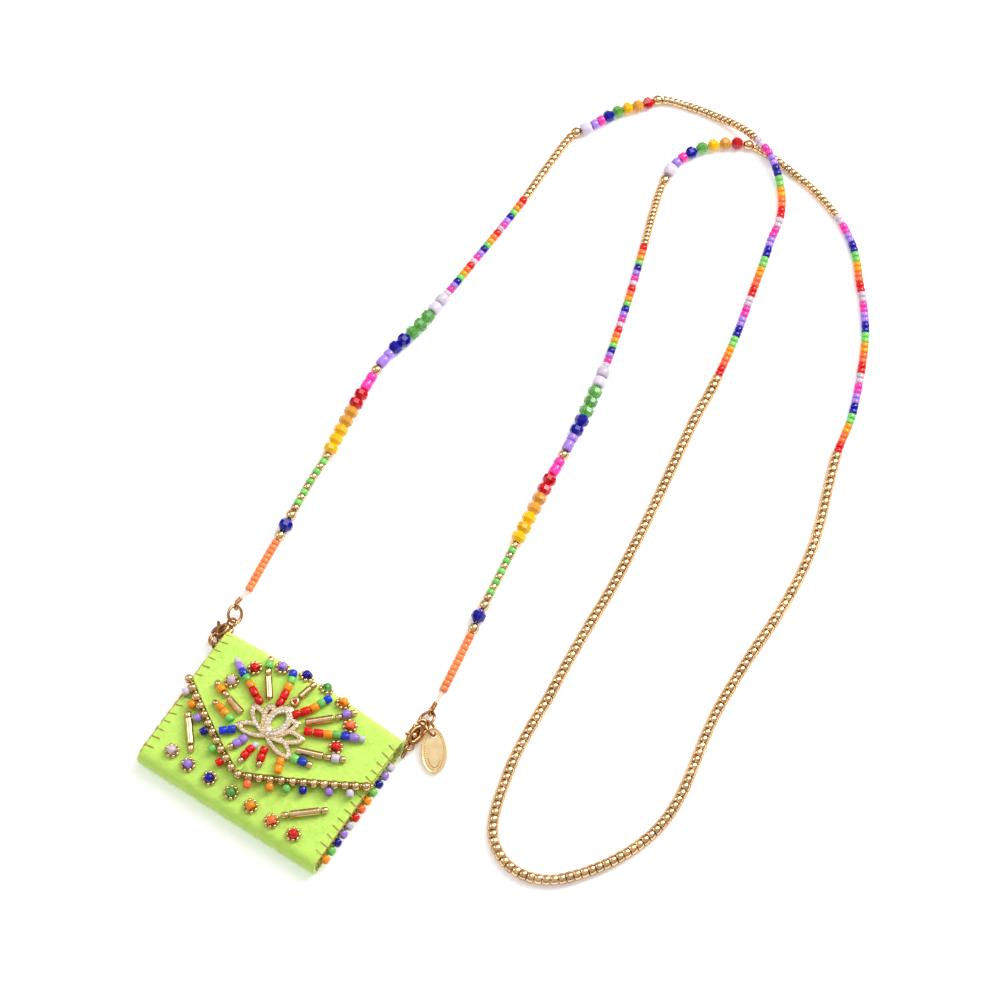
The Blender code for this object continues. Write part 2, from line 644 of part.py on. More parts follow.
TAG_RING_AT = Vector((0.03121, 0.05013, 0.00301))
TAG_RING_NORMAL = (0.511, 0.653, 0.560)
ring("corner_ring_right", CORNER_RING_R, CORNER_RING_WIRE, (0.02906, 0.04139, 0.00245), (1, 0.119, -0.047))
ring("end_ring_right", END_RING_R, END_RING_WIRE, (0.02871, 0.05199, 0.00222), (-0.564, 0, 0.826))
ring("tag_ring", TAG_RING_R, TAG_RING_WIRE, TAG_RING_AT, TAG_RING_NORMAL)
ring("corner_ring_left", CORNER_RING_R, CORNER_RING_WIRE, (-0.03070, 0.03902, 0.00228), (1, 0.554, 0.441))
ring("end_ring_left", END_RING_R, END_RING_WIRE, (-0.03084, 0.04853, 0.00224), (0.739, 0.1215, 0.663))

# Oval tag with a raised rim
TAG_AXIS = Vector((0.571, -0.800, -0.185)).normalized()
TAG_HOLE = Vector((0.03288, 0.04907, 0.00273))
TAG_ROLL = 0.1


def oval_tag():
    mid = TAG_LENGTH / 2 - TAG_HOLE_INSET
    stretch = Matrix.Diagonal((TAG_LENGTH, TAG_WIDTH, 1, 1))
    plate = cylinder("tag", 0.5, TAG_THICK, Matrix.Translation((mid, 0, 0)) @ stretch, GOLD, 22)
    plate = as_mesh(plate, "tag", GOLD)
    plate.data.transform(plate.matrix_world)
    plate.matrix_world = Matrix.Identity(4)
    rim = [Vector((mid + 0.45 * TAG_LENGTH * cos(2 * pi * k / 18), 0.43 * TAG_WIDTH * sin(2 * pi * k / 18), TAG_THICK / 2)) for k in range(18)]
    lip = as_mesh(tube("tag_rim", rim, [0.00022] * 18, GOLD, cyclic=True, resolution=1), "tag_rim", GOLD)
    plate = baked(plate, [lip], "tag", GOLD)
    bore = cylinder("tag_bore", TAG_HOLE_R, 6 * TAG_THICK, Matrix.Identity(4), GOLD, 14)
    return baked(plate, [bore], "tag", GOLD, "DIFFERENCE")


tag = oval_tag()
tag_across = Vector((0, 0, 1)).cross(TAG_AXIS).normalized()
tag_across.rotate(Matrix.Rotation(TAG_ROLL, 3, TAG_AXIS))
tag_up = TAG_AXIS.cross(tag_across)
tag.matrix_world = Matrix.Translation(TAG_HOLE) @ Matrix((TAG_AXIS, tag_across, tag_up)).transposed().to_4x4()


# Bead tips: an eye loop and a short wrapped coil at each end of the strand.
def bead_tip(name, eye_at, coil_end, normal):
    eye = Vector(eye_at)
    end = Vector(coil_end)
    facing = Vector(normal).normalized()
    along = end - eye
    start = eye + (along - facing * along.dot(facing)).normalized() * EYE_R
    hoop = as_mesh(ring("eye_hoop", EYE_R, EYE_WIRE, eye, normal, count=10), "eye_hoop", GOLD)
    points = []
    radii = []
    wraps = 3
    for k in range(2 * wraps + 1):
        points.append(start + (end - start) * k / (2 * wraps))
        radii.append(COIL_R if k % 2 else 0.8 * COIL_R)
    coil = as_mesh(tube(name, points, radii, GOLD, resolution=1), name, GOLD)
    hoop.data.transform(hoop.matrix_world)
    hoop.matrix_world = Matrix.Identity(4)
    return baked(coil, [hoop], name, GOLD)


bead_tip("bead_tip_left", (-0.03173, 0.05056, 0.00285), (-0.0320, 0.0563, 0.0013), (0.667, 0.538, -0.516))
bead_tip("bead_tip_right", (0.02849, 0.05429, 0.00208), (0.0276, 0.0609, 0.0013), (0.890, 0.209, 0.405))


# Neck strand: the route's own points in mm, read from a smooth curve.
def smooth_path(points, spacing):
    """Read a Catmull-Rom curve through the points at about one spacing apart."""
    ends = [2 * points[0] - points[1]] + points + [2 * points[-1] - points[-2]]
    dense = []
    for a, b, c, d in zip(ends, ends[1:], ends[2:], ends[3:]):
        for k in range(24):
            t = k / 24
            dense.append(0.5 * (2 * b + (c - a) * t + (2 * a - 5 * b + 4 * c - d) * t * t + (3 * b - a - 3 * c + d) * t ** 3))
    dense.append(points[-1])
    total = sum((q - p).length for p, q in zip(dense, dense[1:]))
    count = max(2, round(total / spacing))
    step = total / count
    path = [dense[0]]
    walked = 0.0
    for p, q in zip(dense, dense[1:]):
        walked += (q - p).length
        if walked >= step * len(path) - 1e-9 and len(path) < count:
            path.append(q)
    path.append(dense[-1])
    return path


def strand(name, route, diameter, mat, spacing):
    points = [Vector(p) * 0.001 for p in route]
    first = (points[1] - points[0]).normalized()
    last = (points[-2] - points[-1]).normalized()
    points[0] = points[0] + first * STRAND_GAP / 2
    points[-1] = points[-1] + last * STRAND_GAP / 2
    path = smooth_path(points, spacing)
    return tube(name, path, [diameter / 2] * len(path), mat)


strand("strand_orange_left", [(-32.1, 56.5, 1.2), (-32.5, 59.5, 1.2), (-33.3, 65.6, 1.2), (-34.0, 72.6, 1.3)],
       STRAND_SEED_D, NEON_ORANGE, 0.008)
strand("strand_gold_green_left", [(-34.0, 72.6, 1.4), (-34.5, 77.8, 1.5), (-35.3, 82.5, 1.4), (-36.5, 92.6, 1.2), (-37.0, 101.6, 1.4)],
       STRAND_SEED_D, GREEN, 0.008)
strand("strand_warm_left", [(-37.0, 101.6, 1.85), (-38.2, 110.4, 1.85), (-38.7, 114.6, 1.85), (-39.7, 122.8, 1.85)],
       STRAND_ROUND_D, YELLOW, 0.009)
strand("strand_cool_left", [(-39.7, 122.8, 1.85), (-40.3, 131.2, 1.85), (-39.8, 138.0, 1.85), (-38.2, 145.5, 1.85),
                            (-37.5, 152.2, 1.85), (-37.2, 159.5, 1.85)], STRAND_ROUND_D, PURPLE, 0.009)
strand("strand_arch_left", [(-37.2, 159.5, 1.5), (-36.8, 169.8, 1.1), (-36.4, 178.7, 1.1), (-36.0, 187.8, 1.1), (-35.8, 197.5, 1.1),
                            (-36.0, 211.2, 1.1), (-35.7, 222.0, 1.3), (-32.8, 226.8, 1.8), (-28.8, 235.5, 1.9), (-24.2, 241.1, 1.9),
                            (-20.3, 246.0, 1.5), (-12.7, 248.5, 1.1), (-5.0, 249.8, 1.3), (3.0, 250.0, 2.6), (9.0, 248.9, 3.7),
                            (14.6, 247.0, 3.6), (20.1, 243.0, 2.4), (24.7, 237.8, 1.2), (27.8, 231.7, 1.1), (29.1, 225.3, 1.1),
                            (31.1, 218.0, 1.1), (34.0, 206.0, 1.1), (37.0, 193.5, 1.1), (39.4, 180.2, 1.3)],
       STRAND_SEED_D, GOLD, 0.010)
strand("strand_gold_loop", [(39.4, 180.2, 1.55), (40.3, 173.7, 1.55), (41.0, 166.1, 1.55), (42.3, 157.7, 1.55), (44.6, 144.3, 1.55),
                            (46.4, 132.7, 1.55), (48.0, 120.9, 1.55), (49.2, 110.4, 1.55), (49.9, 99.0, 1.55), (50.9, 86.5, 1.55),
                            (52.1, 75.5, 1.55), (52.8, 65.5, 1.55), (54.0, 55.7, 1.55), (55.7, 48.2, 1.55), (57.8, 41.0, 1.55),
                            (60.7, 35.3, 1.55), (64.9, 31.7, 1.55), (69.7, 30.1, 1.55), (75.0, 30.5, 1.55), (80.4, 33.0, 1.55),
                            (85.0, 37.6, 1.55), (90.0, 44.6, 1.55), (94.1, 53.2, 1.55), (96.2, 61.8, 1.55), (96.2, 70.5, 1.55),
                            (94.8, 79.0, 1.55), (92.8, 88.4, 1.55), (91.5, 97.0, 1.55), (90.9, 106.0, 1.55), (90.6, 116.0, 1.55),
                            (90.6, 127.0, 1.55), (90.0, 138.0, 1.55), (88.4, 149.0, 1.55), (85.8, 158.6, 1.55), (82.3, 168.4, 1.55),
                            (79.0, 178.4, 1.55)], STRAND_LOOP_D, GOLD, 0.0105)
strand("strand_arch_right", [(79.0, 178.4, 1.3), (76.8, 189.3, 1.1), (73.6, 198.5, 1.1), (69.6, 208.0, 1.1), (66.0, 215.0, 1.1),
                             (61.0, 222.0, 1.1), (56.4, 227.5, 1.1), (52.5, 232.5, 1.1), (47.5, 237.2, 1.1), (40.5, 241.4, 1.1),
                             (31.4, 244.7, 1.1), (23.8, 246.2, 1.1), (16.0, 247.3, 1.1), (9.6, 247.4, 1.2), (5.4, 245.6, 1.8),
                             (1.0, 242.4, 1.9), (-3.3, 237.4, 1.9), (-6.0, 230.5, 1.7), (-5.6, 222.5, 1.2), (-3.0, 213.5, 1.1),
                             (0.4, 203.6, 1.1), (4.2, 192.2, 1.1), (6.8, 183.8, 1.1), (9.4, 174.8, 1.1), (12.1, 165.0, 1.5)],
       STRAND_SEED_D, GOLD, 0.010)
strand("strand_cool_right", [(12.1, 165.0, 1.85), (13.9, 157.0, 1.85), (15.2, 150.0, 1.85), (16.1, 143.0, 1.85), (16.9, 136.7, 1.85),
                             (17.6, 129.8, 1.85)], STRAND_ROUND_D, PURPLE, 0.009)
strand("strand_warm_right", [(17.6, 129.8, 1.85), (18.5, 122.8, 1.85), (19.4, 115.8, 1.85), (20.4, 107.7, 1.85)],
       STRAND_ROUND_D, YELLOW, 0.009)
strand("strand_gold_green_right", [(20.4, 107.7, 1.4), (21.7, 98.2, 1.2), (23.0, 89.4, 1.4), (24.0, 83.3, 1.5), (24.9, 78.9, 1.4)],
       STRAND_SEED_D, GREEN, 0.008)
strand("strand_orange_right", [(24.9, 78.9, 1.3), (26.2, 70.6, 1.2), (27.4, 62.8, 1.2), (27.6, 61.1, 1.2)],
       STRAND_SEED_D, NEON_ORANGE, 0.008)

# The origin lies on the flat of the back, above the bottom fold.
for node in parts.objects:
    node.matrix_world = Matrix.Translation((0.0, -BACK_POINT_Y, 0.0)) @ node.matrix_world
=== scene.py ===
"""A small felt medicine bag with a beaded flap, on a long beaded neck strand.

The bag lies on its back on a white table.  Lengths in the tables are in
millimetres from the middle of the bottom fold, and the scene is in metres.
"""

from math import cos, pi, radians, sin

import bmesh
import bpy
import numpy as np
from mathutils import Matrix, Vector


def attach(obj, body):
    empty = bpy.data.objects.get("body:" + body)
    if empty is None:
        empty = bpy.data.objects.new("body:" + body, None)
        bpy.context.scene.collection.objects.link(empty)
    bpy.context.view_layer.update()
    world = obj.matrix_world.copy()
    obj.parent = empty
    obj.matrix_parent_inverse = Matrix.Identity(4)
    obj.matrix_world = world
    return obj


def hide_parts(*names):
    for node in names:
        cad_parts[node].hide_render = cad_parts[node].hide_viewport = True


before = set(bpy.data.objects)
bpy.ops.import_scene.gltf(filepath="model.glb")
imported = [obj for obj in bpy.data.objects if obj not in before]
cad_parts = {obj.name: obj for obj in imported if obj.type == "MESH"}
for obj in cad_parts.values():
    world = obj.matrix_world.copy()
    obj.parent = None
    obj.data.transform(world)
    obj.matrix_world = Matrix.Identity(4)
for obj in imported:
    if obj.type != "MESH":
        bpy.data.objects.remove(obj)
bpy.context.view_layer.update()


# Camera
# A long lens looks down at the bag from above its lower right corner.
# It stands one metre off, so the beads at both ends keep nearly one scale.
def lay_down(name, shape):
    """A piece of the scene with this mesh, curve, lamp or camera as its data."""
    piece = bpy.data.objects.new(name, shape)
    bpy.context.scene.collection.objects.link(piece)
    return piece


eye_turn = radians(33.41)
eye_fall = radians(66.0)
aim = Vector((0.0094, 0.09446, 0.0))
look = Vector((-sin(eye_turn) * cos(eye_fall), cos(eye_turn) * cos(eye_fall), -sin(eye_fall)))
camera = lay_down("camera", bpy.data.cameras.new("camera"))
camera.location = aim - look
camera.rotation_euler = look.to_track_quat("-Z", "Y").to_euler()
camera.data.lens = 132.2
camera.data.sensor_width = 36.0
camera.data.clip_start = 0.01
bpy.context.scene.camera = camera
bpy.context.scene.view_settings.view_transform = "Standard"


# Finishes of the beads
# Seed beads are cut from drawn glass cane and tumbled, so they are glossy and
# soft-edged; the gold ones are plated brass, a warm antique gold.
MM = 0.001


def colour(code):
    """An sRGB hex colour as linear values."""
    channels = [int(code[i:i + 2], 16) / 255 for i in (0, 2, 4)]
    return tuple(c / 12.92 if c <= 0.04045 else ((c + 0.055) / 1.055) ** 2.4 for c in channels) + (1.0,)


def add(mat, kind, settings=None, links=None):
    """Add one shader node; lower-case settings are its properties, others its sockets."""
    made = mat.node_tree.nodes.new("ShaderNode" + kind)
    for key, value in (settings or {}).items():
        if key[0].islower():
            setattr(made, key, value)
        else:
            made.inputs[key].default_value = value
    for key, source in (links or {}).items():
        mat.node_tree.links.new(source, made.inputs[key])
    return made


def blank(name):
    """A new material with no shader nodes yet."""
    mat = bpy.data.materials.new(name)
    mat.use_nodes = True
    mat.node_tree.nodes.clear()
    return mat


def bead_glass(name, code, depth, roughness=0.12, clarity=0.0):
    """Glass cane, tumbled to a gloss: each bead a little lighter or darker, with faint streaks."""
    mat = blank(name)
    island = add(mat, "NewGeometry")
    shade = add(mat, "MapRange", {"To Min": 0.86, "To Max": 1.12},
                {"Value": island.outputs["Random Per Island"]})
    place = add(mat, "TexCoord")
    streak = add(mat, "TexNoise", {"Scale": 1 / (0.9 * MM), "Detail": 2.0},
                 {"Vector": place.outputs["Object"]})
    base = add(mat, "Mix", {"data_type": "RGBA", "A": colour(depth), "B": colour(code)},
               {"Factor": streak.outputs["Fac"]})
    tone = add(mat, "HueSaturation", {"Saturation": 1.02},
               {"Color": base.outputs["Result"], "Value": shade.outputs["Result"]})
    body = add(mat, "BsdfPrincipled",
               {"Roughness": roughness, "IOR": 1.46, "Coat Weight": 0.12, "Coat Roughness": 0.05,
                "Transmission Weight": clarity}, {"Base Color": tone.outputs["Color"]})
    add(mat, "OutputMaterial", {}, {"Surface": body.outputs[0]})
    return mat


def plated_gold(name, code, worn, roughness):
    """Gold plate over brass: warm glints, with darker, redder patches about 2 mm wide."""
    mat = blank(name)
    place = add(mat, "TexCoord")
    island = add(mat, "NewGeometry")
    rub = add(mat, "TexNoise", {"Scale": 1 / (2.2 * MM), "Detail": 4.0}, {"Vector": place.outputs["Object"]})
    mix = add(mat, "Mix", {"data_type": "RGBA", "A": colour(worn), "B": colour(code)},
              {"Factor": rub.outputs["Fac"]})
    shade = add(mat, "MapRange", {"To Min": 0.82, "To Max": 1.1},
                {"Value": island.outputs["Random Per Island"]})
    tone = add(mat, "HueSaturation", {}, {"Color": mix.outputs["Result"], "Value": shade.outputs["Result"]})
    rough = add(mat, "MapRange", {"To Min": roughness * 0.7, "To Max": roughness * 1.4},
                {"Value": rub.outputs["Fac"]})
    body = add(mat, "BsdfPrincipled", {"Metallic": 1.0, "Specular Tint": colour("80563A")},
               {"Base Color": tone.outputs["Color"], "Roughness": rough.outputs["Result"]})
    add(mat, "OutputMaterial", {}, {"Surface": body.outputs[0]})
    return mat


# Opaque canes show one clean highlight; the clear and crystal ones let light
# through, so their far side glows.
GLASS = {
    "white": bead_glass("opal_glass", "DDD2E0", "BEB0C6", 0.2),
    "clear": bead_glass("clear_lined_glass", "F6E9F0", "D9B9D2", 0.08, 0.35),
    "pink": bead_glass("neon_pink_lined_glass", "FF52B4", "F02A98", 0.16),
    "lilac": bead_glass("lilac_glass", "BC94F0", "9A70D8", 0.12, 0.1),
    "navy": bead_glass("cobalt_glass", "1606AC", "080468", 0.08),
    "blue": bead_glass("blue_glass", "2A48E0", "1630AC", 0.12),
    "green": bead_glass("lined_green_glass", "A0F07C", "62C850", 0.10, 0.2),
    "emerald": bead_glass("green_crystal", "98E078", "54A648", 0.05, 0.6),
    "orange": bead_glass("orange_glass", "FF9E12", "F58A06", 0.16),
    "coral": bead_glass("coral_glass", "FF7A4C", "F4602E", 0.16),
    "ruby": bead_glass("ruby_crystal", "DC0E1C", "A20410", 0.08),
    "red": bead_glass("red_glass", "F21414", "C80808", 0.16),
    "neon_orange": bead_glass("neon_orange_lined_glass", "FF9C62", "FF7E42", 0.12),
    "yellow": bead_glass("yellow_crystal", "FAC62C", "E8A80E", 0.10),
    "amber": bead_glass("amber_crystal", "EDB050", "D08A2A", 0.10, 0.1),
}
# The beads' plate is pale and bright and the fittings' is bronzed; the inside of the clasps gets a copy of
# the plate darkened nearly to brown, as painted shade.
GOLD = plated_gold("antique_gold_plate", "FFDFAE", "E4B27C", 0.18)
FITTING_GOLD = plated_gold("bronzed_gold_plate", "E2AE7C", "9A663C", 0.17)
PAINTED_SHADE_GOLD = plated_gold("clasp_gold_painted_shade", "7A4E2E", "3E2816", 0.4)
SLOT = {"white": "clear", "clear": "clear", "pink": "neon_orange", "lilac": "purple", "navy": "navy",
        "blue": "navy", "green": "green", "emerald": "green", "orange": "orange", "coral": "neon_orange",
        "red": "red", "ruby": "red", "neon_orange": "neon_orange", "yellow": "yellow", "amber": "yellow",
        "gold": "gold"}


# Bead shapes
# Every bead is turned about its thread hole: tumbled seeds, round metal beads,
# pressed rondelles with facets, and bugles cut from round tube.
def turned(profile, sides, smooth=True):
    """A ring-shaped solid from (along, radius) pairs that go once round its section."""
    points = []
    for along, radius in profile:
        for k in range(sides):
            turn = 2 * pi * k / sides
            points.append((along, radius * cos(turn), radius * sin(turn)))
    faces = []
    rows = len(profile)
    for row in range(rows):
        nxt = (row + 1) % rows
        for k in range(sides):
            after = (k + 1) % sides
            faces.append((row * sides + k, row * sides + after, nxt * sides + after, nxt * sides + k))
    return np.array(points), faces, smooth


def tumbled(radius, length, hole, power=0.65, sides=16):
    """A seed bead: the lower the power, the squarer its section, with the thread hole inside."""
    steps = 10
    middle = (radius + hole) / 2
    half = (radius - hole) / 2
    section = []
    for k in range(steps):
        turn = 2 * pi * (k + 0.5) / steps
        along = length / 2 * np.sign(cos(turn)) * abs(cos(turn)) ** power
        section.append((along, middle + half * np.sign(sin(turn)) * abs(sin(turn)) ** power))
    return turned(section, sides)


def rounded(radius, hole, sides=18):
    """A round metal bead: a ball drilled through."""
    lean = np.linspace(-1.3, 1.3, 9)
    section = [(radius * sin(t), max(hole, radius * cos(t))) for t in lean]
    section += [(section[-1][0] * 0.9, hole * 0.8), (section[0][0] * 0.9, hole * 0.8)]
    return turned(section, sides)


def faceted(radius, length, hole):
    """A pressed crystal rondelle: two crowns of facets either side of its girdle."""
    half = length / 2
    section = [(-half, 0.50 * radius), (-0.38 * half, 0.96 * radius), (0.38 * half, 0.96 * radius),
               (half, 0.50 * radius), (0.9 * half, hole), (-0.9 * half, hole)]
    return turned(section, 9, smooth=False)


def bugle(radius, length):
    """A long bead cut from round tube, its ends left open and softened by the plating."""
    half = length / 2
    end = [(half, 0.78 * radius), (half - 0.06, 0.92 * radius), (half - 0.18, radius), (half - 0.26, radius)]
    section = [(-along, out) for along, out in end] + end[::-1]
    section += [(half - 0.05, 0.45 * radius), (-half + 0.05, 0.45 * radius)]
    return turned(section, 20)


# Outer radius, length and thread hole of each kind of bead, in mm.
BEAD = {
    "seed": tumbled(1.17, 1.42, 0.45),
    "coarse": tumbled(1.46, 1.84, 0.5, 0.5),
    "long": tumbled(1.50, 3.0, 0.5, 0.5),
    "ball": rounded(1.45, 0.4),
    "band": tumbled(1.16, 1.3, 0.45, 0.42),
    "crystal": faceted(2.08, 3.1, 0.5),
    "small_crystal": faceted(1.82, 2.75, 0.45),
    "opal": tumbled(1.86, 2.95, 0.5, 0.8, 20),
    "edge": tumbled(1.18, 1.9, 0.4, 0.75),
    "drop": tumbled(1.08, 1.9, 0.35, 0.7),
    "centre": tumbled(1.25, 1.7, 0.35, 0.8),
    "mid": tumbled(1.14, 1.95, 0.35, 0.6),
    "fine": tumbled(0.88, 1.56, 0.28, 0.85),
    "dot": rounded(0.52, 0.12, 12),
}
trays = {}
spin = np.random.default_rng(11)


def metres(points):
    """Points of the tables, in mm from the bottom fold, in the scene's metres."""
    return (np.array(points, float) - (0.0, 22.0, 0.0)) * MM


def drop_in(tray, shape, centre, along, size=1.0, stretch=1.0):
    """Put one bead into a tray of like beads: its centre in mm and its thread's direction."""
    points, faces, smooth = BEAD[shape] if isinstance(shape, str) else shape
    axis = np.array(along, float)
    axis /= np.linalg.norm(axis)
    side = np.cross(axis, (0.13, 0.21, 1.0))
    side /= np.linalg.norm(side)
    up = np.cross(axis, side)
    turn = spin.uniform(0, 2 * pi)
    across = side * cos(turn) + up * sin(turn)
    raised = np.cross(axis, across)
    wide = size * (1 + spin.uniform(-0.025, 0.025))
    placed = points * (size * stretch, wide, wide) @ np.array((axis, across, raised)) + np.array(centre)
    trays.setdefault(tray, []).append((metres(placed), faces, smooth))


def pour(name, tray, mat, slot, *nodes):
    """Join a tray's beads into one piece that rides on the bag."""
    points, faces, smooth, start = [], [], [], 0
    for placed, corners, soft in trays.pop(tray):
        points.append(placed)
        faces += [tuple(c + start for c in face) for face in corners]
        smooth += [soft] * len(corners)
        start += len(placed)
    mesh = bpy.data.meshes.new(name)
    mesh.from_pydata(np.vstack(points).tolist(), [], faces)
    mesh.polygons.foreach_set("use_smooth", smooth)
    shell = bmesh.new()
    shell.from_mesh(mesh)
    bmesh.ops.recalc_face_normals(shell, faces=shell.faces)
    shell.to_mesh(mesh)
    shell.free()
    mesh.materials.append(mat)
    piece = lay_down(name, mesh)
    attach(piece, "bag")
    if nodes:
        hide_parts(*nodes)
    return piece


# Neck strand
# One nylon beading thread, strung with glass and plated beads, runs from the left
# clasp's eye to the right one's and lies on the table, crossing itself near its top.
ROUTE_STEPS = 12
strand_route = [
    (-32.1, 56.5, 1.2), (-32.5, 59.5, 1.2), (-33.3, 65.6, 1.2), (-34.0, 72.6, 1.4), (-34.5, 77.8, 1.6),
    (-35.3, 82.5, 1.4), (-36.5, 92.6, 1.2), (-37.0, 101.6, 1.5), (-38.2, 110.4, 1.95),
    (-38.7, 114.6, 1.95), (-39.7, 122.8, 1.9), (-40.3, 131.2, 1.85), (-39.8, 138.0, 1.95),
    (-38.2, 145.5, 1.95), (-37.5, 152.2, 1.95), (-37.2, 159.5, 1.6), (-36.8, 169.8, 1.1),
    (-36.4, 178.7, 1.1), (-36.0, 187.8, 1.1), (-35.8, 197.5, 1.1), (-36.0, 211.2, 1.1),
    (-35.7, 222.0, 1.3), (-32.8, 226.8, 1.9), (-28.8, 235.5, 2.0), (-24.2, 241.1, 2.0),
    (-20.3, 246.0, 1.5), (-12.7, 248.5, 1.1), (-5.0, 249.8, 1.3), (3.0, 250.0, 2.6), (9.0, 248.9, 3.5),
    (14.6, 247.0, 3.4), (20.1, 243.0, 2.2), (24.7, 237.8, 1.1), (27.8, 231.7, 1.1), (29.1, 225.3, 1.1),
    (31.1, 218.0, 1.1), (34.0, 206.0, 1.1), (37.0, 193.5, 1.1), (39.4, 180.2, 1.3), (40.3, 173.7, 1.55),
    (41.0, 166.1, 1.55), (42.3, 157.7, 1.55), (44.6, 144.3, 1.55), (46.4, 132.7, 1.55),
    (48.0, 120.9, 1.55), (49.2, 110.4, 1.55), (49.9, 99.0, 1.55), (50.9, 86.5, 1.55),
    (52.1, 75.5, 1.55), (52.8, 65.5, 1.55), (54.0, 55.7, 1.55), (55.7, 48.2, 1.55), (57.8, 41.0, 1.55),
    (60.7, 35.3, 1.55), (64.9, 31.7, 1.55), (69.7, 30.1, 1.55), (75.0, 30.5, 1.55), (80.4, 33.0, 1.55),
    (85.0, 37.6, 1.55), (90.0, 44.6, 1.55), (94.1, 53.2, 1.55), (96.2, 61.8, 1.55), (96.2, 70.5, 1.55),
    (94.8, 79.0, 1.55), (92.8, 88.4, 1.55), (91.5, 97.0, 1.55), (90.9, 106.0, 1.55),
    (90.6, 116.0, 1.55), (90.6, 127.0, 1.55), (90.0, 138.0, 1.55), (88.4, 149.0, 1.55),
    (85.8, 158.6, 1.55), (82.3, 168.4, 1.55), (79.0, 178.4, 1.3), (76.8, 189.3, 1.1),
    (73.6, 198.5, 1.1), (69.6, 208.0, 1.1), (66.0, 215.0, 1.1), (61.0, 222.0, 1.1), (56.4, 227.5, 1.1),
    (52.5, 232.5, 1.1), (47.5, 237.2, 1.1), (40.5, 241.4, 1.1), (31.4, 244.7, 1.1), (23.8, 246.2, 1.1),
    (16.0, 247.3, 1.1), (9.6, 247.4, 1.3), (5.4, 245.6, 1.9), (1.0, 242.4, 2.0), (-3.3, 237.4, 2.0),
    (-6.0, 230.5, 1.8), (-5.6, 222.5, 1.2), (-3.0, 213.5, 1.1), (0.4, 203.6, 1.1), (4.2, 192.2, 1.1),
    (6.8, 183.8, 1.1), (9.4, 174.8, 1.1), (12.1, 165.0, 1.6), (13.9, 157.0, 1.95), (15.2, 150.0, 1.95),
    (16.1, 143.0, 1.95), (16.9, 136.7, 1.85), (17.6, 129.8, 1.9), (18.5, 122.8, 1.95),
    (19.4, 115.8, 1.95), (20.4, 107.7, 1.5), (21.7, 98.2, 1.2), (23.0, 89.4, 1.4), (24.0, 83.3, 1.6),
    (24.9, 78.9, 1.4), (26.2, 70.6, 1.2), (27.4, 62.8, 1.2), (27.6, 61.1, 1.2),
]


def smooth_line(points, steps=ROUTE_STEPS):
    """Points along a smooth curve through the given ones."""
    p = np.array(points, float)
    p = np.vstack((2 * p[0] - p[1], p, 2 * p[-1] - p[-2]))
    t = np.arange(steps)[:, None] / steps
    runs = []
    for a, b, c, d in zip(p, p[1:], p[2:], p[3:]):
        runs.append(0.5 * (2 * b + (c - a) * t + (2 * a - 5 * b + 4 * c - d) * t ** 2
                           + (3 * b - a - 3 * c + d) * t ** 3))
    return np.vstack(runs + [p[-2]])


def round_curve(name, radius, smoothness=2, capped=True):
    """An empty run of round thread or wire, its radius in metres."""
    curve = bpy.data.curves.new(name, "CURVE")
    curve.dimensions = "3D"
    curve.bevel_depth = radius
    curve.bevel_resolution = smoothness
    curve.use_fill_caps = capped
    return curve


def lay_along(curve, line, closed=False):
    """Lay a length of the curve's thread or wire along points in metres."""
    run = curve.splines.new("POLY")
    run.points.add(len(line) - 1)
    run.points.foreach_set("co", np.hstack((line, np.ones((len(line), 1)))).ravel())
    run.use_cyclic_u = closed


strand_line = smooth_line(strand_route)
strand_walk = np.concatenate(([0.0], np.cumsum(np.linalg.norm(np.diff(strand_line, axis=0), axis=1))))


def strand_at(distance):
    """The strand's point and direction at a distance from its left end."""
    behind, spot, ahead = (
        np.array([np.interp(distance + step, strand_walk, strand_line[:, k]) for k in range(3)])
        for step in (-0.6, 0.0, 0.6))
    return spot, ahead - behind


def strand_mark(index):
    """Distance along the strand to one of the route's points."""
    return strand_walk[index * ROUTE_STEPS]


# The runs of beads, each between two of the route's points, from either clasp
# up to the long loop of gold ones.
rainbow = ["clear", "pink", "lilac", "navy", "green", "orange", "coral", "red"]
singles = [("seed", c) for c in rainbow[::-1] * 3]
doubles = [("seed", c) for c in rainbow * 3 for _ in range(2)]
rope_gold = [("band", "gold")]
warm = [("crystal", c) for c in ("yellow", "yellow", "yellow", "amber", "amber", "ruby", "ruby")]
cool = [("long", "pink"), ("coarse", "pink"), ("ball", "gold"), ("long", "lilac"), ("coarse", "lilac")]
cool += [("crystal", c) for c in ("navy", "navy", "emerald", "emerald", "emerald")] + [("opal", "white")] * 2
cluster = [("ball", "gold"), ("opal", "white"), ("coarse", "lilac"), ("coarse", "pink")]
cluster += [("small_crystal", c) for c in ("navy", "emerald", "yellow", "amber", "ruby")] + [("ball", "gold")]
lead = [("ball", "gold"), ("crystal", "navy"), ("ball", "gold")]
ladder = [("band", "gold"), ("seed", "green")] * 5 + [("band", "gold")]
orange_run = [("seed", "neon_orange")] * 11
half_left = [(0, 3, orange_run), (3, 5, lead), (5, 7, ladder), (7, 10, warm), (10, 15, cool),
             (15, 19, singles[::-1]), (19, 21, rope_gold * 15), (21, 25, cluster),
             (25, 29, rope_gold * 20), (29, 38, doubles)]
half_right = [(73, 82, doubles[::-1]), (82, 86, rope_gold * 20), (86, 91, cluster[::-1]),
              (91, 93, rope_gold * 15), (93, 97, singles), (97, 102, cool[::-1]), (102, 105, warm[::-1]),
              (105, 107, ladder), (107, 109, lead), (109, 112, orange_run)]
loop_pitch = 2.03
loop_count = round((strand_mark(73) - strand_mark(38)) / loop_pitch)
snug = 0.985
natural = {"seed": 1.45, "band": 1.45, "coarse": 2.0, "long": 3.0, "ball": 2.75, "crystal": 3.0,
           "small_crystal": 2.8, "opal": 3.0}
lie_rng = np.random.default_rng(5)
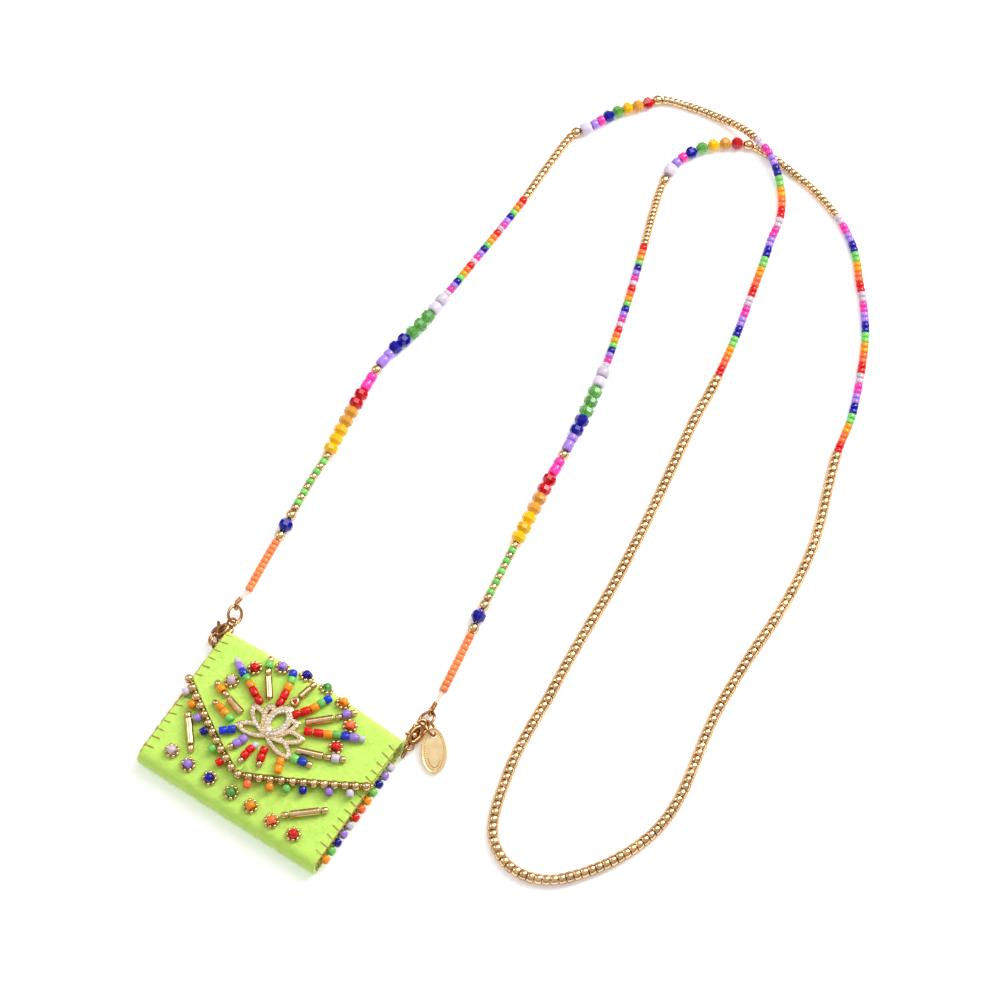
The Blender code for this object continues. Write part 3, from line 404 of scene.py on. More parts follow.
for first, last, beads in half_left + [(38, 73, [("coarse", "gold")] * loop_count)] + half_right:
    near = strand_mark(first)
    far = strand_mark(last)
    scale = (far - near) / sum(natural[shape] for shape, _ in beads)
    for shape, tint in beads:
        room = natural[shape] * scale
        centre, along = strand_at(near + room / 2)
        rest_height = np.abs(BEAD[shape][0][:, 1]).max() + 0.03
        centre[2] = max(centre[2], rest_height)
        stretch = min(1.12, snug * room / natural[shape])
        along = np.array(along) + lie_rng.normal(0, 0.06, 3) * (1, 1, 0.3)
        drop_in("strand_" + tint, shape, centre, along, 1.0, stretch)
        near += room

thread_across = 0.00044
thread_curve = round_curve("beading_thread", thread_across / 2)
lay = metres(strand_line[::3])
lay_along(thread_curve, lay)
thread = lay_down("beading_thread", thread_curve)
# Nylon thread is smooth, so it has a soft gloss between the beads.
THREAD = blank("nylon_beading_thread")
thread_body = add(THREAD, "BsdfPrincipled", {"Base Color": colour("F0D8CC"), "Roughness": 0.35})
add(THREAD, "OutputMaterial", {}, {"Surface": thread_body.outputs[0]})
thread_curve.materials.append(THREAD)
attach(thread, "bag")
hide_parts("strand_orange_left", "strand_gold_green_left", "strand_warm_left",
            "strand_cool_left", "strand_arch_left", "strand_gold_loop", "strand_arch_right",
            "strand_cool_right", "strand_warm_right", "strand_gold_green_right", "strand_orange_right")
for tray in sorted(trays):
    tint = tray.removeprefix("strand_")
    pour(tray + "_beads", tray, GOLD if tint == "gold" else GLASS[tint], SLOT[tint])


# Felt envelope
# One strip of wool felt, folded up for the pocket and down for the flap, which
# is cut to a blunt point.  Its face is brushed, so loose fibres stand off it.
half_wide = 28.0
height = 42.5
felt_thick = 1.2
half_thick = felt_thick / 2
front_mid = 6.2
flap_mid_z = 7.7
tip_x = -2.6
tip_y = 10.8
squareness = 2.6


def side_fall(x):
    """One on the middle line, falling to nothing at the side edges."""
    return max(0.0, 1 - (x / half_wide) ** 2)


def puff(x, y):
    """How far the filled pouch stands up."""
    return 1.2 * side_fall(x) * sin(0.5 * pi * min(1.0, max(0.0, y / (0.35 * height))))


def flap_edge(x):
    """How far up the flap's cut edge lies at one place across."""
    half, side = (30.6, 27.4) if x > tip_x else (25.4, 25.8)
    return tip_y + (side - tip_y) * min(1.0, abs(x - tip_x) / half) ** 1.15


def flap_mid(x, y):
    """Height of the flap's middle line, which bends down over the top fold."""
    lift = 0.6 * min(1.0, max(0.0, (height - y) / (height - tip_y)))
    flat_end = height + 0.7 * side_fall(x) - 3.3
    top = flap_mid_z + puff(x, y)
    if y <= flat_end:
        return top + lift
    middle = (top + half_thick) / 2
    out = min(1.0, (y - flat_end) / 2.7)
    return middle + (top - middle) * (1 - out ** squareness) ** (1 / squareness) + lift


def flap_top(x, y):
    """Height of the flap's outer face."""
    return flap_mid(x, min(y, height - 0.3)) + half_thick


def front_top(x, y):
    """Height of the pocket front's outer face."""
    return front_mid + puff(x, y) + half_thick


def fold(depth, low, high, steps):
    """Half of a squarish loop, from its upper leg round to its lower one."""
    loop = []
    for step in range(1, steps):
        turn = pi / 2 - pi * step / steps
        rise = abs(sin(turn)) ** (2 / squareness) * (1 if turn > 0 else -1)
        out = depth * abs(cos(turn)) ** (2 / squareness)
        loop.append((out, (high + low) / 2 + rise * (high - low) / 2))
    return loop


def felt_row(u):
    """The felt's middle line at one place across, from the mouth round to the flap's edge."""
    x = half_wide * u
    top = height + 0.7 * side_fall(x) - 3.3
    line = [(x, y, front_mid + puff(x, y)) for y in np.linspace(37.3, 3.2, 34)]
    line += [(x, 3.2 - out, z) for out, z in fold(2.6, half_thick, front_mid + puff(x, 3.2), 14)]
    line += [(x, y, half_thick) for y in np.linspace(3.2, top, 24)]
    line += [(x, top + out, z) for out, z in reversed(fold(2.7, half_thick, flap_mid(x, top), 16))]
    flap_side = 26.6 + 0.8 * u
    line += [(x, y, flap_mid(x, y)) for y in np.linspace(top, flap_side, 16)]
    for step in range(1, 25):
        reach = 1 - 0.985 * (step / 24) ** 0.8
        y = tip_y + (flap_side - tip_y) * reach ** 1.15
        half = 30.6 if u > 0 else -25.4
        middle = tip_x * (1 - reach)
        side = middle + abs(u) * (tip_x + reach * half - middle)
        line.append((side, y, flap_mid(side, y)))
    return line


across = np.sin(np.linspace(-pi / 2, pi / 2, 45)) * 0.35 + np.linspace(-1, 1, 45) * 0.65
felt_grid = np.array([felt_row(u) for u in across])
felt_rng = np.random.default_rng(4)
rows, columns = felt_grid.shape[:2]
# The hand-pressed felt isn't quite even, so its upper side waves a little.
wave = felt_rng.normal(size=(rows // 4 + 3, columns // 4 + 3))
gentle = np.array([[wave[i // 4:i // 4 + 2, j // 4:j // 4 + 2].mean() for j in range(columns)]
                   for i in range(rows)])
felt_grid[:, :, 2] += np.where(felt_grid[:, :, 2] > 4.0, 0.09 * gentle, 0.0)
felt_mesh = bpy.data.meshes.new("felt_envelope")
corner = [(i * columns + j, i * columns + j + 1, (i + 1) * columns + j + 1, (i + 1) * columns + j)
          for i in range(rows - 1) for j in range(columns - 1)]
felt_mesh.from_pydata(metres(felt_grid.reshape(-1, 3)).tolist(), [], corner)
felt = lay_down("felt_envelope", felt_mesh)
felt_mesh.shade_smooth()
body_step = felt.modifiers.new("felt_thickness", "SOLIDIFY")
body_step.thickness = felt_thick * MM
body_step.offset = 0.0
body_step.use_even_offset = True
edge_step = felt.modifiers.new("pressed_edge", "BEVEL")
edge_step.width = 0.00034
edge_step.segments = 3
edge_step.limit_method = "ANGLE"
edge_step.angle_limit = radians(50)
bpy.context.view_layer.update()
shaped = bpy.data.meshes.new_from_object(felt.evaluated_get(bpy.context.evaluated_depsgraph_get()))
felt.modifiers.clear()
felt.data = shaped
# Brushed wool felt: matt and mottled, paler where its matted fibres catch light.
# Single fibres are too fine to show, so the matting is drawn as 0.55 mm tufts.
FELT = blank("wool_felt_neon_green")
felt_place = add(FELT, "TexCoord")
cloud = add(FELT, "TexNoise", {"Scale": 1 / (6.0 * MM), "Detail": 5.0, "Roughness": 0.6},
            {"Vector": felt_place.outputs["Object"]})
matted = add(FELT, "TexNoise",
             {"Scale": 1 / (0.55 * MM), "Detail": 8.0, "Roughness": 0.75, "Distortion": 1.4},
             {"Vector": felt_place.outputs["Object"]})
felt_ramp = add(FELT, "Mix", {"data_type": "RGBA", "A": colour("A6D848"), "B": colour("E8FF90")},
                {"Factor": matted.outputs["Fac"]})
felt_tone = add(FELT, "Mix", {"data_type": "RGBA", "B": colour("CDF468")},
                {"A": felt_ramp.outputs["Result"], "Factor": cloud.outputs["Fac"]})
felt_bump = add(FELT, "Bump", {"Strength": 0.5, "Distance": 0.0003}, {"Height": matted.outputs["Fac"]})
felt_body = add(FELT, "BsdfPrincipled",
                {"Roughness": 0.95, "Sheen Weight": 0.35, "Sheen Roughness": 0.5, "Specular IOR Level": 0.15},
                {"Base Color": felt_tone.outputs["Result"], "Normal": felt_bump.outputs["Normal"]})
add(FELT, "OutputMaterial", {}, {"Surface": felt_body.outputs[0]})
felt.data.materials.clear()
felt.data.materials.append(FELT)
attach(felt, "bag")
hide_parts("felt_pouch")

# Loose fibres: fine curls of wool that lie over the brushed face and its cut edges.
fibre_rng = np.random.default_rng(21)
felt_tris = felt.data.loop_triangles
felt.data.calc_loop_triangles()
verts = np.array([v.co for v in felt.data.vertices])
tri = np.array([t.vertices for t in felt_tris])
a, b, c = verts[tri[:, 0]], verts[tri[:, 1]], verts[tri[:, 2]]
cross = np.cross(b - a, c - a)
area = np.linalg.norm(cross, axis=1) / 2
outward = cross / (2 * area[:, None] + 1e-15)
seen = area * np.where((outward[:, 2] > 0.1) | (np.abs(outward[:, 2]) < 0.75), 1.0, 0.05)
pick = fibre_rng.choice(len(tri), size=16000, p=seen / seen.sum())
mixing = fibre_rng.dirichlet((1, 1, 1), size=len(pick))
roots = a[pick] * mixing[:, :1] + b[pick] * mixing[:, 1:2] + c[pick] * mixing[:, 2:]
normals = outward[pick]
heading = np.cross(normals, fibre_rng.normal(size=normals.shape))
heading /= np.linalg.norm(heading, axis=1)[:, None] + 1e-12
bend = np.cross(normals, heading)
reach = fibre_rng.uniform(0.6, 1.9, len(pick))[:, None] * MM
rise = fibre_rng.uniform(0.05, 0.6, len(pick))[:, None] * MM
curl = fibre_rng.uniform(-0.5, 0.5, len(pick))[:, None]
strip_points = []
for t in (0.0, 0.35, 0.7, 1.0):
    spot = roots + heading * reach * (t - 0.35) + bend * reach * curl * t * t
    spot = spot + normals * (rise * sin(pi * t) - 0.02 * MM)
    thin = 0.032 * MM * (1 - 0.6 * abs(2 * t - 1))
    strip_points += [spot + bend * thin, spot - bend * thin]
strips = np.stack(strip_points, 1)
strips[..., 2] = np.maximum(strips[..., 2], 0.01 * MM)
fibre_faces = [tuple(8 * n + k for k in quad) for n in range(len(pick))
               for quad in ((0, 1, 3, 2), (2, 3, 5, 4), (4, 5, 7, 6))]
fibre_mesh = bpy.data.meshes.new("felt_fibres")
fibre_mesh.from_pydata(strips.reshape(-1, 3).tolist(), [], fibre_faces)
fibres = lay_down("felt_fibres", fibre_mesh)
fibre_mesh.materials.append(FELT)
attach(fibres, "bag")


# Whip stitches
# Twisted gold-brown sewing thread, taken over the cut side edges of the front
# and the flap and back through the felt; a run of it lies along each edge.
stitch_curve = round_curve("whip_stitches", 0.00015)
stitch_rng = np.random.default_rng(8)


def stitch(points):
    """One run of the sewing thread through the given points, in mm."""
    lay_along(stitch_curve, metres(smooth_line(points, 4)))


for side in (-1, 1):
    for surface, starts in ((front_top, np.arange(4.2, 36.5, 2.7)), (flap_top, np.arange(27.4, 41.0, 2.7))):
        for y in starts:
            if surface is front_top and y > flap_edge(side * half_wide) - 1.0:
                continue
            y += stitch_rng.uniform(-0.25, 0.25)
            inner = half_wide - stitch_rng.uniform(1.9, 2.4)
            lean = stitch_rng.uniform(0.2, 0.6)
            z_in = surface(side * inner, y + lean)
            z_out = surface(side * half_wide, y)
            stitch([(side * inner, y + lean, z_in - 0.25), (side * (inner + 0.15), y + lean, z_in + 0.08),
                    (side * 27.4, y + 0.1, z_out + 0.12), (side * 28.12, y, z_out - 0.15),
                    (side * 28.16, y, z_out - 0.6), (side * 28.1, y - 0.1, z_out - 1.15),
                    (side * 27.4, y - 0.2, z_out - 1.3)])
for side in (-1, 1):
    for y in np.arange(1.6, 40.6, 1.35):
        slip = stitch_rng.uniform(-0.5, 0.5)
        edge = 27.95 * side
        stitch([(edge, y, 5.75), (edge + 0.28 * side, y + 0.2 * slip, 5.2),
                (edge - 0.1 * side, y + 0.6 * slip, 3.4), (edge + 0.28 * side, y + slip, 1.5),
                (edge, y + slip, 0.9)])
    corner_y = flap_edge(side * half_wide)
    for surface, low, high in ((front_top, 1.6, corner_y - 0.4), (flap_top, corner_y + 0.4, 40.6)):
        stitch([(side * 28.05, y, surface(side * half_wide, y) - 0.08 + 0.06 * sin(4.6 * y))
                for y in np.arange(low, high, 0.9)])
stitches = lay_down("whip_stitches", stitch_curve)
# Polyester sewing thread: the shine and shade of its twisted plies are painted as slanting bands, drawn 0.45
# mm apart, which is coarser than the real twist.
STITCH = blank("twisted_polyester_thread")
stitch_place = add(STITCH, "TexCoord")
painted_ply_shine = add(STITCH, "TexWave", {"Scale": 1 / (0.45 * MM) / 6.28, "bands_direction": "DIAGONAL"},
            {"Vector": stitch_place.outputs["Object"]})
stitch_tone = add(STITCH, "Mix", {"data_type": "RGBA", "A": colour("A88436"), "B": colour("C9A650")},
                  {"Factor": painted_ply_shine.outputs["Fac"]})
stitch_body = add(STITCH, "BsdfPrincipled", {"Roughness": 0.6}, {"Base Color": stitch_tone.outputs["Result"]})
add(STITCH, "OutputMaterial", {}, {"Surface": stitch_body.outputs[0]})
stitch_curve.materials.append(STITCH)
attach(stitches, "bag")


# Bead rays on the flap
# Rows of glass seeds, gold seeds and gold bugles, each threaded from the charm
# outward and sewn down at its end bead.
def sew_row(row, surface, seat=0.08):
    """Thread a row of (x, y, shape, tint) beads along the felt; a bugle is given by its two ends."""
    natural_half = {"mid": 0.98, "fine": 0.78, "bugle": 0.0, "end": 0.0}
    radius_of = {"mid": 1.12, "fine": 0.88, "bugle": 0.98, "end": 0.98}
    spots = [np.array((x, y, surface(x, y) + radius_of[shape] + seat)) for x, y, shape, tint in row]
    for index, (x, y, shape, tint) in enumerate(row):
        if shape == "end":
            continue
        if shape == "bugle":
            far = spots[index + 1]
            drop_in("sewn_" + tint, bugle(0.98, float(np.linalg.norm(far - spots[index]))),
                    (spots[index] + far) / 2, far - spots[index])
            continue
        reach = []
        for step in (-1, 1):
            other = index + step
            if not 0 <= other < len(row):
                reach.append(natural_half[shape])
                continue
            share = natural_half[shape] / (natural_half[shape] + natural_half[row[other][2]])
            reach.append(min(1.35 * natural_half[shape],
                             snug * share * float(np.linalg.norm(spots[other] - spots[index]))))
        along = spots[min(len(row) - 1, index + 1)] - spots[max(0, index - 1)]
        along /= np.linalg.norm(along)
        length = sum(reach)
        drop_in("sewn_" + tint, shape, spots[index] + along * (reach[1] - reach[0]) / 2, along, 1.0,
                length / (2 * natural_half[shape]))


rays = [
    [(-10.9, 24.1, "bugle", "gold"), (-16.1, 25.6, "end", ""), (-17.6, 26.3, "fine", "gold"),
     (-19.4, 26.8, "mid", "orange"), (-21.0, 27.6, "fine", "gold")],
    [(-12.6, 21.1, "mid", "green"), (-14.6, 21.8, "mid", "orange"), (-16.6, 22.4, "mid", "orange"),
     (-18.3, 22.7, "fine", "gold")],
    [(-10.3, 18.9, "mid", "blue"), (-12.2, 17.3, "mid", "blue")],
    [(-6.2, 18.3, "mid", "lilac"), (-7.0, 16.5, "mid", "lilac"), (-7.9, 14.8, "fine", "gold")],
    [(-2.7, 18.6, "fine", "white"), (-3.1, 16.9, "mid", "red"), (-3.3, 14.9, "mid", "red"),
     (-3.4, 13.1, "fine", "gold")],
    [(0.1, 18.6, "mid", "red"), (0.6, 16.6, "mid", "red"), (1.2, 14.8, "fine", "gold")],
    [(5.4, 18.4, "mid", "orange"), (6.2, 16.4, "mid", "orange")],
    [(8.0, 21.2, "mid", "green"), (10.1, 21.6, "mid", "blue"), (12.1, 22.1, "fine", "gold")],
    [(7.0, 23.4, "bugle", "gold"), (13.7, 26.0, "end", ""), (14.9, 26.5, "fine", "gold"),
     (16.8, 27.3, "mid", "white"), (18.5, 28.2, "fine", "gold")],
    [(6.5, 29.3, "mid", "red"), (9.1, 30.5, "mid", "red"), (11.5, 31.7, "mid", "orange"),
     (13.4, 32.9, "mid", "green"), (15.4, 33.7, "mid", "blue"), (17.5, 34.7, "mid", "lilac"),
     (19.5, 35.7, "fine", "white")],
    [(4.6, 31.1, "bugle", "gold"), (10.0, 36.2, "end", ""), (11.1, 37.4, "fine", "gold"),
     (12.15, 38.95, "mid", "lilac"), (13.6, 40.5, "fine", "gold")],
    [(1.2, 31.5, "mid", "red"), (2.9, 33.7, "mid", "red"), (4.3, 36.0, "mid", "orange"),
     (5.0, 37.9, "mid", "green"), (5.9, 39.7, "mid", "blue")],
    [(-0.6, 36.2, "bugle", "gold"), (0.2, 39.8, "end", ""), (0.35, 41.0, "fine", "gold")],
    [(-4.0, 31.9, "mid", "red"), (-4.3, 34.4, "mid", "red"), (-4.8, 36.9, "mid", "orange"),
     (-5.1, 38.8, "mid", "green"), (-5.9, 40.6, "mid", "blue")],
    [(-7.1, 31.5, "bugle", "gold"), (-10.9, 36.4, "end", ""), (-11.8, 37.7, "fine", "gold"),
     (-12.6, 39.2, "mid", "green"), (-13.2, 40.8, "fine", "gold")],
    [(-9.0, 29.4, "mid", "red"), (-11.5, 30.7, "mid", "red"), (-13.8, 32.0, "mid", "orange"),
     (-15.4, 32.9, "mid", "green"), (-17.1, 33.7, "mid", "blue"), (-18.8, 34.7, "mid", "lilac"),
     (-20.4, 35.7, "fine", "white")],
]
for ray in rays:
    sew_row(ray, flap_top)


# Flowers
# Eight small gold beads ring a larger glass bead, sewn down through its middle;
# eight flowers follow the flap's top and sides, and seven the bottom fold.
def flower(x, y, tint, surface):
    """One flower on the felt, level with the slope of its surface."""
    petals = 8
    step = 0.8
    slope_x = (surface(x + step, y) - surface(x - step, y)) / (2 * step)
    slope_y = (surface(x, y + step) - surface(x, y - step)) / (2 * step)
    normal = np.array((-slope_x, -slope_y, 1.0))
    normal /= np.linalg.norm(normal)
    side = np.cross((0.0, 1.0, 0.2), normal)
    side /= np.linalg.norm(side)
    other = np.cross(normal, side)
    base = np.array((x, y, surface(x, y)))
    start = spin.uniform(0, 1)
    for k in range(petals):
        turn = 2 * pi * (k + start) / petals
        out = side * cos(turn) + other * sin(turn)
        drop_in("sewn_gold", "dot", base + out * 1.6 + normal * 0.62, np.cross(normal, out), 1.03)
    lie = side * cos(start * 6) + other * sin(start * 6)
    drop_in("sewn_" + tint, "centre", base + normal * 1.3, lie, 0.98, 1.16)


for x, y, tint in ((-18.4, 30.2, "clear"), (-15.4, 36.6, "red"), (-9.4, 40.5, "lilac"), (-2.9, 42.0, "navy"),
                   (3.5, 41.9, "emerald"), (9.6, 40.9, "orange"), (14.7, 36.9, "coral"), (15.0, 30.0, "red")):
    flower(x, y, tint, flap_top)
for x, y, tint in ((-20.8, 6.3, "clear"), (-15.1, 5.4, "lilac"), (-8.2, 5.4, "navy"), (-1.2, 5.3, "emerald"),
                   (5.2, 5.0, "orange"), (12.0, 4.7, "coral"), (18.8, 4.8, "red")):
    flower(x, y, tint, front_top)
# A red bead set in a gold one in the ray above the charm, and a slanting bugle
# row at either side of the front.
drop_in("sewn_gold", "centre", (-0.9, 34.4, flap_top(-0.9, 34.4) + 1.0), (0, -0.2, 1), 1.1)
drop_in("sewn_red", "dot", (-0.9, 34.4, flap_top(-0.9, 34.4) + 1.1), (0, -0.2, 1), 0.9)
sew_row([(-23.1, 16.7, "fine", "gold"), (-22.3, 15.8, "bugle", "gold"), (-17.6, 10.2, "end", ""),
         (-16.8, 9.1, "fine", "gold")], front_top)
sew_row([(14.0, 7.6, "fine", "gold"), (15.1, 8.5, "bugle", "gold"), (21.0, 13.6, "end", ""),
         (22.1, 14.6, "fine", "gold")], front_top)


# Flap edging
# Gold beads are sewn edge to edge along the cut flap, and every few of them
# carries one glass bead that hangs outward.
edge_steps = 480
edge_line = np.array([(x, flap_edge(x)) for x in np.linspace(-half_wide, half_wide, edge_steps + 1)])
along_edge = np.array([edge_line[min(edge_steps, k + 8)] - edge_line[max(0, k - 8)]
                       for k in range(edge_steps + 1)])
along_edge /= np.linalg.norm(along_edge, axis=1)[:, None]
out_edge = np.stack((along_edge[:, 1], -along_edge[:, 0]), 1)
trim_line = edge_line + out_edge * 1.2
trim_pitch = 1.34
trim_spots = [0]
for k in range(edge_steps + 1):
    if np.linalg.norm(trim_line[k] - trim_line[trim_spots[-1]]) >= trim_pitch:
        trim_spots.append(k)
drop_tints = ["white", "orange", "lilac", "navy", "green", "red", "coral", "orange", "green", "navy",
              "lilac", "white"]
drop_x = [-26.6, -23.3, -19.4, -15.4, -11.3, -7.2, 0.1, 5.8, 9.9, 13.9, 19.7, 24.3]


def beside_flap(spot):
    """Height of a hanging bead's middle, just clear of the front felt."""
    return max(flap_mid(*spot), front_top(*spot) + 0.3 + 1.08)


for count, k in enumerate(trim_spots):
    if count % 2 == 0:
        spot = trim_line[k] - out_edge[k] * 0.12
        drop_in("sewn_gold", "ball", (*spot, beside_flap(spot) + 0.4), (*along_edge[k], 0.0), 0.84)
    else:
        spot = trim_line[k] - out_edge[k] * 0.45
        drop_in("sewn_gold", "dot", (*spot, beside_flap(spot) + 0.05), (*along_edge[k], 0.0), 1.05)
for target, tint in zip(drop_x, drop_tints):
    k = min(trim_spots, key=lambda n: abs(trim_line[n][0] - target))
    spot = trim_line[k] + out_edge[k] * 1.85
    z = beside_flap(trim_line[k])
    drop_in("sewn_" + tint, "drop", (*spot, z - 0.05), (*out_edge[k], -0.1))


# Side edging
# Glass beads in rainbow order, strung down each side, close the gap between the
# front felt and the back.
side_tints = ["orange", "green", "navy", "lilac", "white", "red", "coral", "orange", "green", "navy",
              "lilac", "white"]
for edge_x in (-27.93, 28.83):
    for k, tint in enumerate(side_tints):
        drop_in("sewn_" + tint, "edge", (edge_x, 4.6 + 2.75 * k, 4.12), (0, 1, 0))
ray_names = ["ray_01_gold_bugle", "ray_02_green_orange", "ray_03_blue", "ray_04_purple", "ray_05_red",
             "ray_06_red", "ray_07_orange", "ray_08_green_blue", "ray_09_gold_bugle", "ray_10_red_blue",
             "ray_11_gold_bugle", "ray_12_red_blue", "ray_13_gold_bugle", "ray_14_red_blue",
             "ray_15_gold_bugle", "ray_16_red_blue"]
sewn_nodes = ray_names + [f"arc_flower_{k}" for k in range(1, 9)] + [f"front_flower_{k}" for k in range(1, 8)]
sewn_nodes += ["flap_edge_beads", "side_edging_left", "side_edging_right"]
for tray in sorted(trays):
    tint = tray.removeprefix("sewn_")
    nodes = sewn_nodes if tint == "gold" else []
    pour(tray + "_beads", tray, GOLD if tint == "gold" else GLASS[tint], SLOT[tint], *nodes)


# Lotus charm
# Cast brass, gold plated: seven open petals in bands set edge to edge with
# small brilliant stones, each held by beads of metal raised from the band.

# Cast and plated brass: bright, and a little paler where it is rubbed.
PAVE = blank("cast_gold_plate")
pave_place = add(PAVE, "TexCoord")
pave_rub = add(PAVE, "TexNoise", {"Scale": 1 / (0.8 * MM), "Detail": 3.0},
               {"Vector": pave_place.outputs["Object"]})
pave_tone = add(PAVE, "Mix", {"data_type": "RGBA", "A": colour("CFA568"), "B": colour("F6DDA8")},
                {"Factor": pave_rub.outputs["Fac"]})
pave_body = add(PAVE, "BsdfPrincipled", {"Metallic": 1.0, "Roughness": 0.2},
                {"Base Color": pave_tone.outputs["Result"]})
add(PAVE, "OutputMaterial", {}, {"Surface": pave_body.outputs[0]})
# Cut crystal with a foiled back: glints, and each stone a little paler or greyer.
STONE = blank("cut_crystal_stone")
stone_island = add(STONE, "NewGeometry")
stone_tone = add(STONE, "Mix", {"data_type": "RGBA", "A": colour("DCD2D2"), "B": colour("FFFFFF")},
                 {"Factor": stone_island.outputs["Random Per Island"]})
stone_body = add(STONE, "BsdfPrincipled",
                 {"Roughness": 0.12, "IOR": 1.9, "Metallic": 0.4, "Coat Weight": 1.0, "Coat Roughness": 0.02},
                 {"Base Color": stone_tone.outputs["Result"]})
add(STONE, "OutputMaterial", {}, {"Surface": stone_body.outputs[0]})
lotus_centre = (-1.8, 23.2)
lotus_seat = max(flap_top(lotus_centre[0] + dx, lotus_centre[1] + dy)
                 for dx in (0, -4, 4) for dy in (0, 4, 8)) + 0.3
# Each petal's lean in degrees, length, breadth and width of band, the front ones first.
petal_shapes = [(6, 10.7, 6.6, 1.8), (-29, 9.6, 4.5, 1.35), (37, 10.0, 4.5, 1.35), (-61, 10.5, 4.5, 1.35),
                (68, 11.0, 4.5, 1.35), (-106, 10.2, 4.3, 1.35), (106, 10.6, 4.3, 1.35)]
petal_root = 1.1
petal_sides = 48
# A small brilliant: eight sides at its girdle, a flat table above and a point below.
stone_points = [(0.44 * cos(2 * pi * k / 8), 0.44 * sin(2 * pi * k / 8), 0.0) for k in range(8)]
crown = [2 * pi * (k + 0.5) / 8 for k in range(8)]
stone_points += [(0.24 * cos(turn), 0.24 * sin(turn), 0.24) for turn in crown] + [(0, 0, 0.24), (0, 0, -0.3)]
sides = [(k, (k + 1) % 8) for k in range(8)]
stone_faces = [(k, nxt, 8 + k) for k, nxt in sides] + [(8 + k, nxt, 8 + nxt) for k, nxt in sides]
stone_faces += [(8 + k, 8 + nxt, 16) for k, nxt in sides] + [(nxt, k, 17) for k, nxt in sides]
stone_cut = (np.array(stone_points), stone_faces, False)
prong_cut = rounded(0.13, 0.02, 8)


def lotus_point(angle, x, y):
    """A petal's own point, turned by its lean about the charm's middle."""
    turn = radians(angle)
    return np.array((lotus_centre[0] + x * cos(turn) + y * sin(turn),
                     lotus_centre[1] - x * sin(turn) + y * cos(turn)))


def almond(length, breadth, inset, count):
    """Evenly spaced points round a petal's outline, set in from its edge."""
    turns = np.linspace(0, 2 * pi, 721)[:-1]
    side = np.sin(turns)
    x = (breadth / 2 - inset) * side * np.abs(side) ** 0.25
    y = length / 2 - (length / 2 - 1.5 * inset) * np.cos(turns) - petal_root
    walk = np.concatenate(([0], np.cumsum(np.hypot(np.diff(x, append=x[0]), np.diff(y, append=y[0])))))
    marks = np.linspace(0, walk[-1], count, endpoint=False)
    return np.interp(marks, walk, np.append(x, x[0])), np.interp(marks, walk, np.append(y, y[0]))


def covered(spot, order, margin):
    """Whether a point lies behind one of the petals in front of this one."""
    for angle, length, breadth, band_width in petal_shapes[:min(order, 3)]:
        turn = radians(angle)
        dx, dy = spot[0] - lotus_centre[0], spot[1] - lotus_centre[1]
        x, y = dx * cos(turn) - dy * sin(turn), dx * sin(turn) + dy * cos(turn)
        share = (y + petal_root) / length
        if 0.02 < share < 0.98:
            half = breadth / 2 * (2 * (share * (1 - share)) ** 0.5) ** 1.25
            if abs(x) < half - margin:
                return True
    return False


def set_on(tray, cut, spot, z):
    """Put one stone or prong on the charm."""
    points, faces, smooth = cut
    trays.setdefault(tray, []).append((metres(points + (*spot, z)), faces, smooth))


def petal_round(angle, length, breadth, inset, pitch):
    """Points about one pitch apart round a petal, set in from its edge."""
    x, y = almond(length, breadth, inset, 200)
    walk = np.hypot(np.diff(x, append=x[0]), np.diff(y, append=y[0])).sum()
    return [lotus_point(angle, x, y) for x, y in zip(*almond(length, breadth, inset, int(walk / pitch)))]


band = bmesh.new()
for order, (angle, length, breadth, band_width) in enumerate(petal_shapes):
    top = lotus_seat + 1.3 - 0.05 * order
    loops = []
    outer = [(0.06, lotus_seat), (0.0, lotus_seat + 0.3), (0.0, top - 0.12), (0.12, top)]
    for inset, z in outer + [(band_width - inset, z) for inset, z in outer[::-1]]:
        xs, ys = almond(length, breadth, inset, petal_sides)
        loops.append([(*lotus_point(angle, x, y), z) for x, y in zip(xs, ys)])
    kept = [not covered(np.mean([loop[k][:2] for loop in loops], axis=0), order, 0.55)
            for k in range(petal_sides)]
    made = [[band.verts.new(metres(point)) if kept[k] or kept[k - 1] else None
             for k, point in enumerate(loop)] for loop in loops]
    for low, high in zip(made, made[1:] + made[:1]):
        for k in range(petal_sides):
            nxt = (k + 1) % petal_sides
            if kept[k] and low[k] and low[nxt] and high[k] and high[nxt]:
                band.faces.new((low[k], low[nxt], high[nxt], high[k]))
    for k in range(petal_sides):
        nxt = (k + 1) % petal_sides
        if kept[k] and not kept[k - 1]:
            band.faces.new([loop[k] for loop in made])
        if kept[k] and not kept[nxt]:
            band.faces.new([loop[nxt] for loop in made])
    rows_of_stones = [(0.62, 1.0)] if band_width < 1.5 else [(0.60, 0.98), (1.42, 0.98)]
    for inset, pitch in rows_of_stones:
        for spot in petal_round(angle, length, breadth, inset, pitch):
            if not covered(spot, order, -0.1):
                set_on("stones", stone_cut, spot, top + 0.03)
    for inset in (0.14, band_width - 0.14):
        for spot in petal_round(angle, length, breadth, inset, 0.5):
            if not covered(spot, order, 0.0):
                set_on("prongs", prong_cut, spot, top + 0.05)
for spot in ((0, 0.5), (0.9, 0.2), (-0.9, 0.2), (0, -0.6)):
    set_on("stones", stone_cut, lotus_point(6, *spot), lotus_seat + 1.36)
bmesh.ops.recalc_face_normals(band, faces=band.faces)
lotus_mesh = bpy.data.meshes.new("lotus_bands")
band.to_mesh(lotus_mesh)
band.free()
lotus_mesh.materials.append(PAVE)
lotus_mesh.shade_smooth()
lotus_mesh.set_sharp_from_angle(angle=radians(40))
lotus = lay_down("lotus_bands", lotus_mesh)
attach(lotus, "bag")
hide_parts("lotus_charm")
pour("lotus_stones", "stones", STONE, "pave")
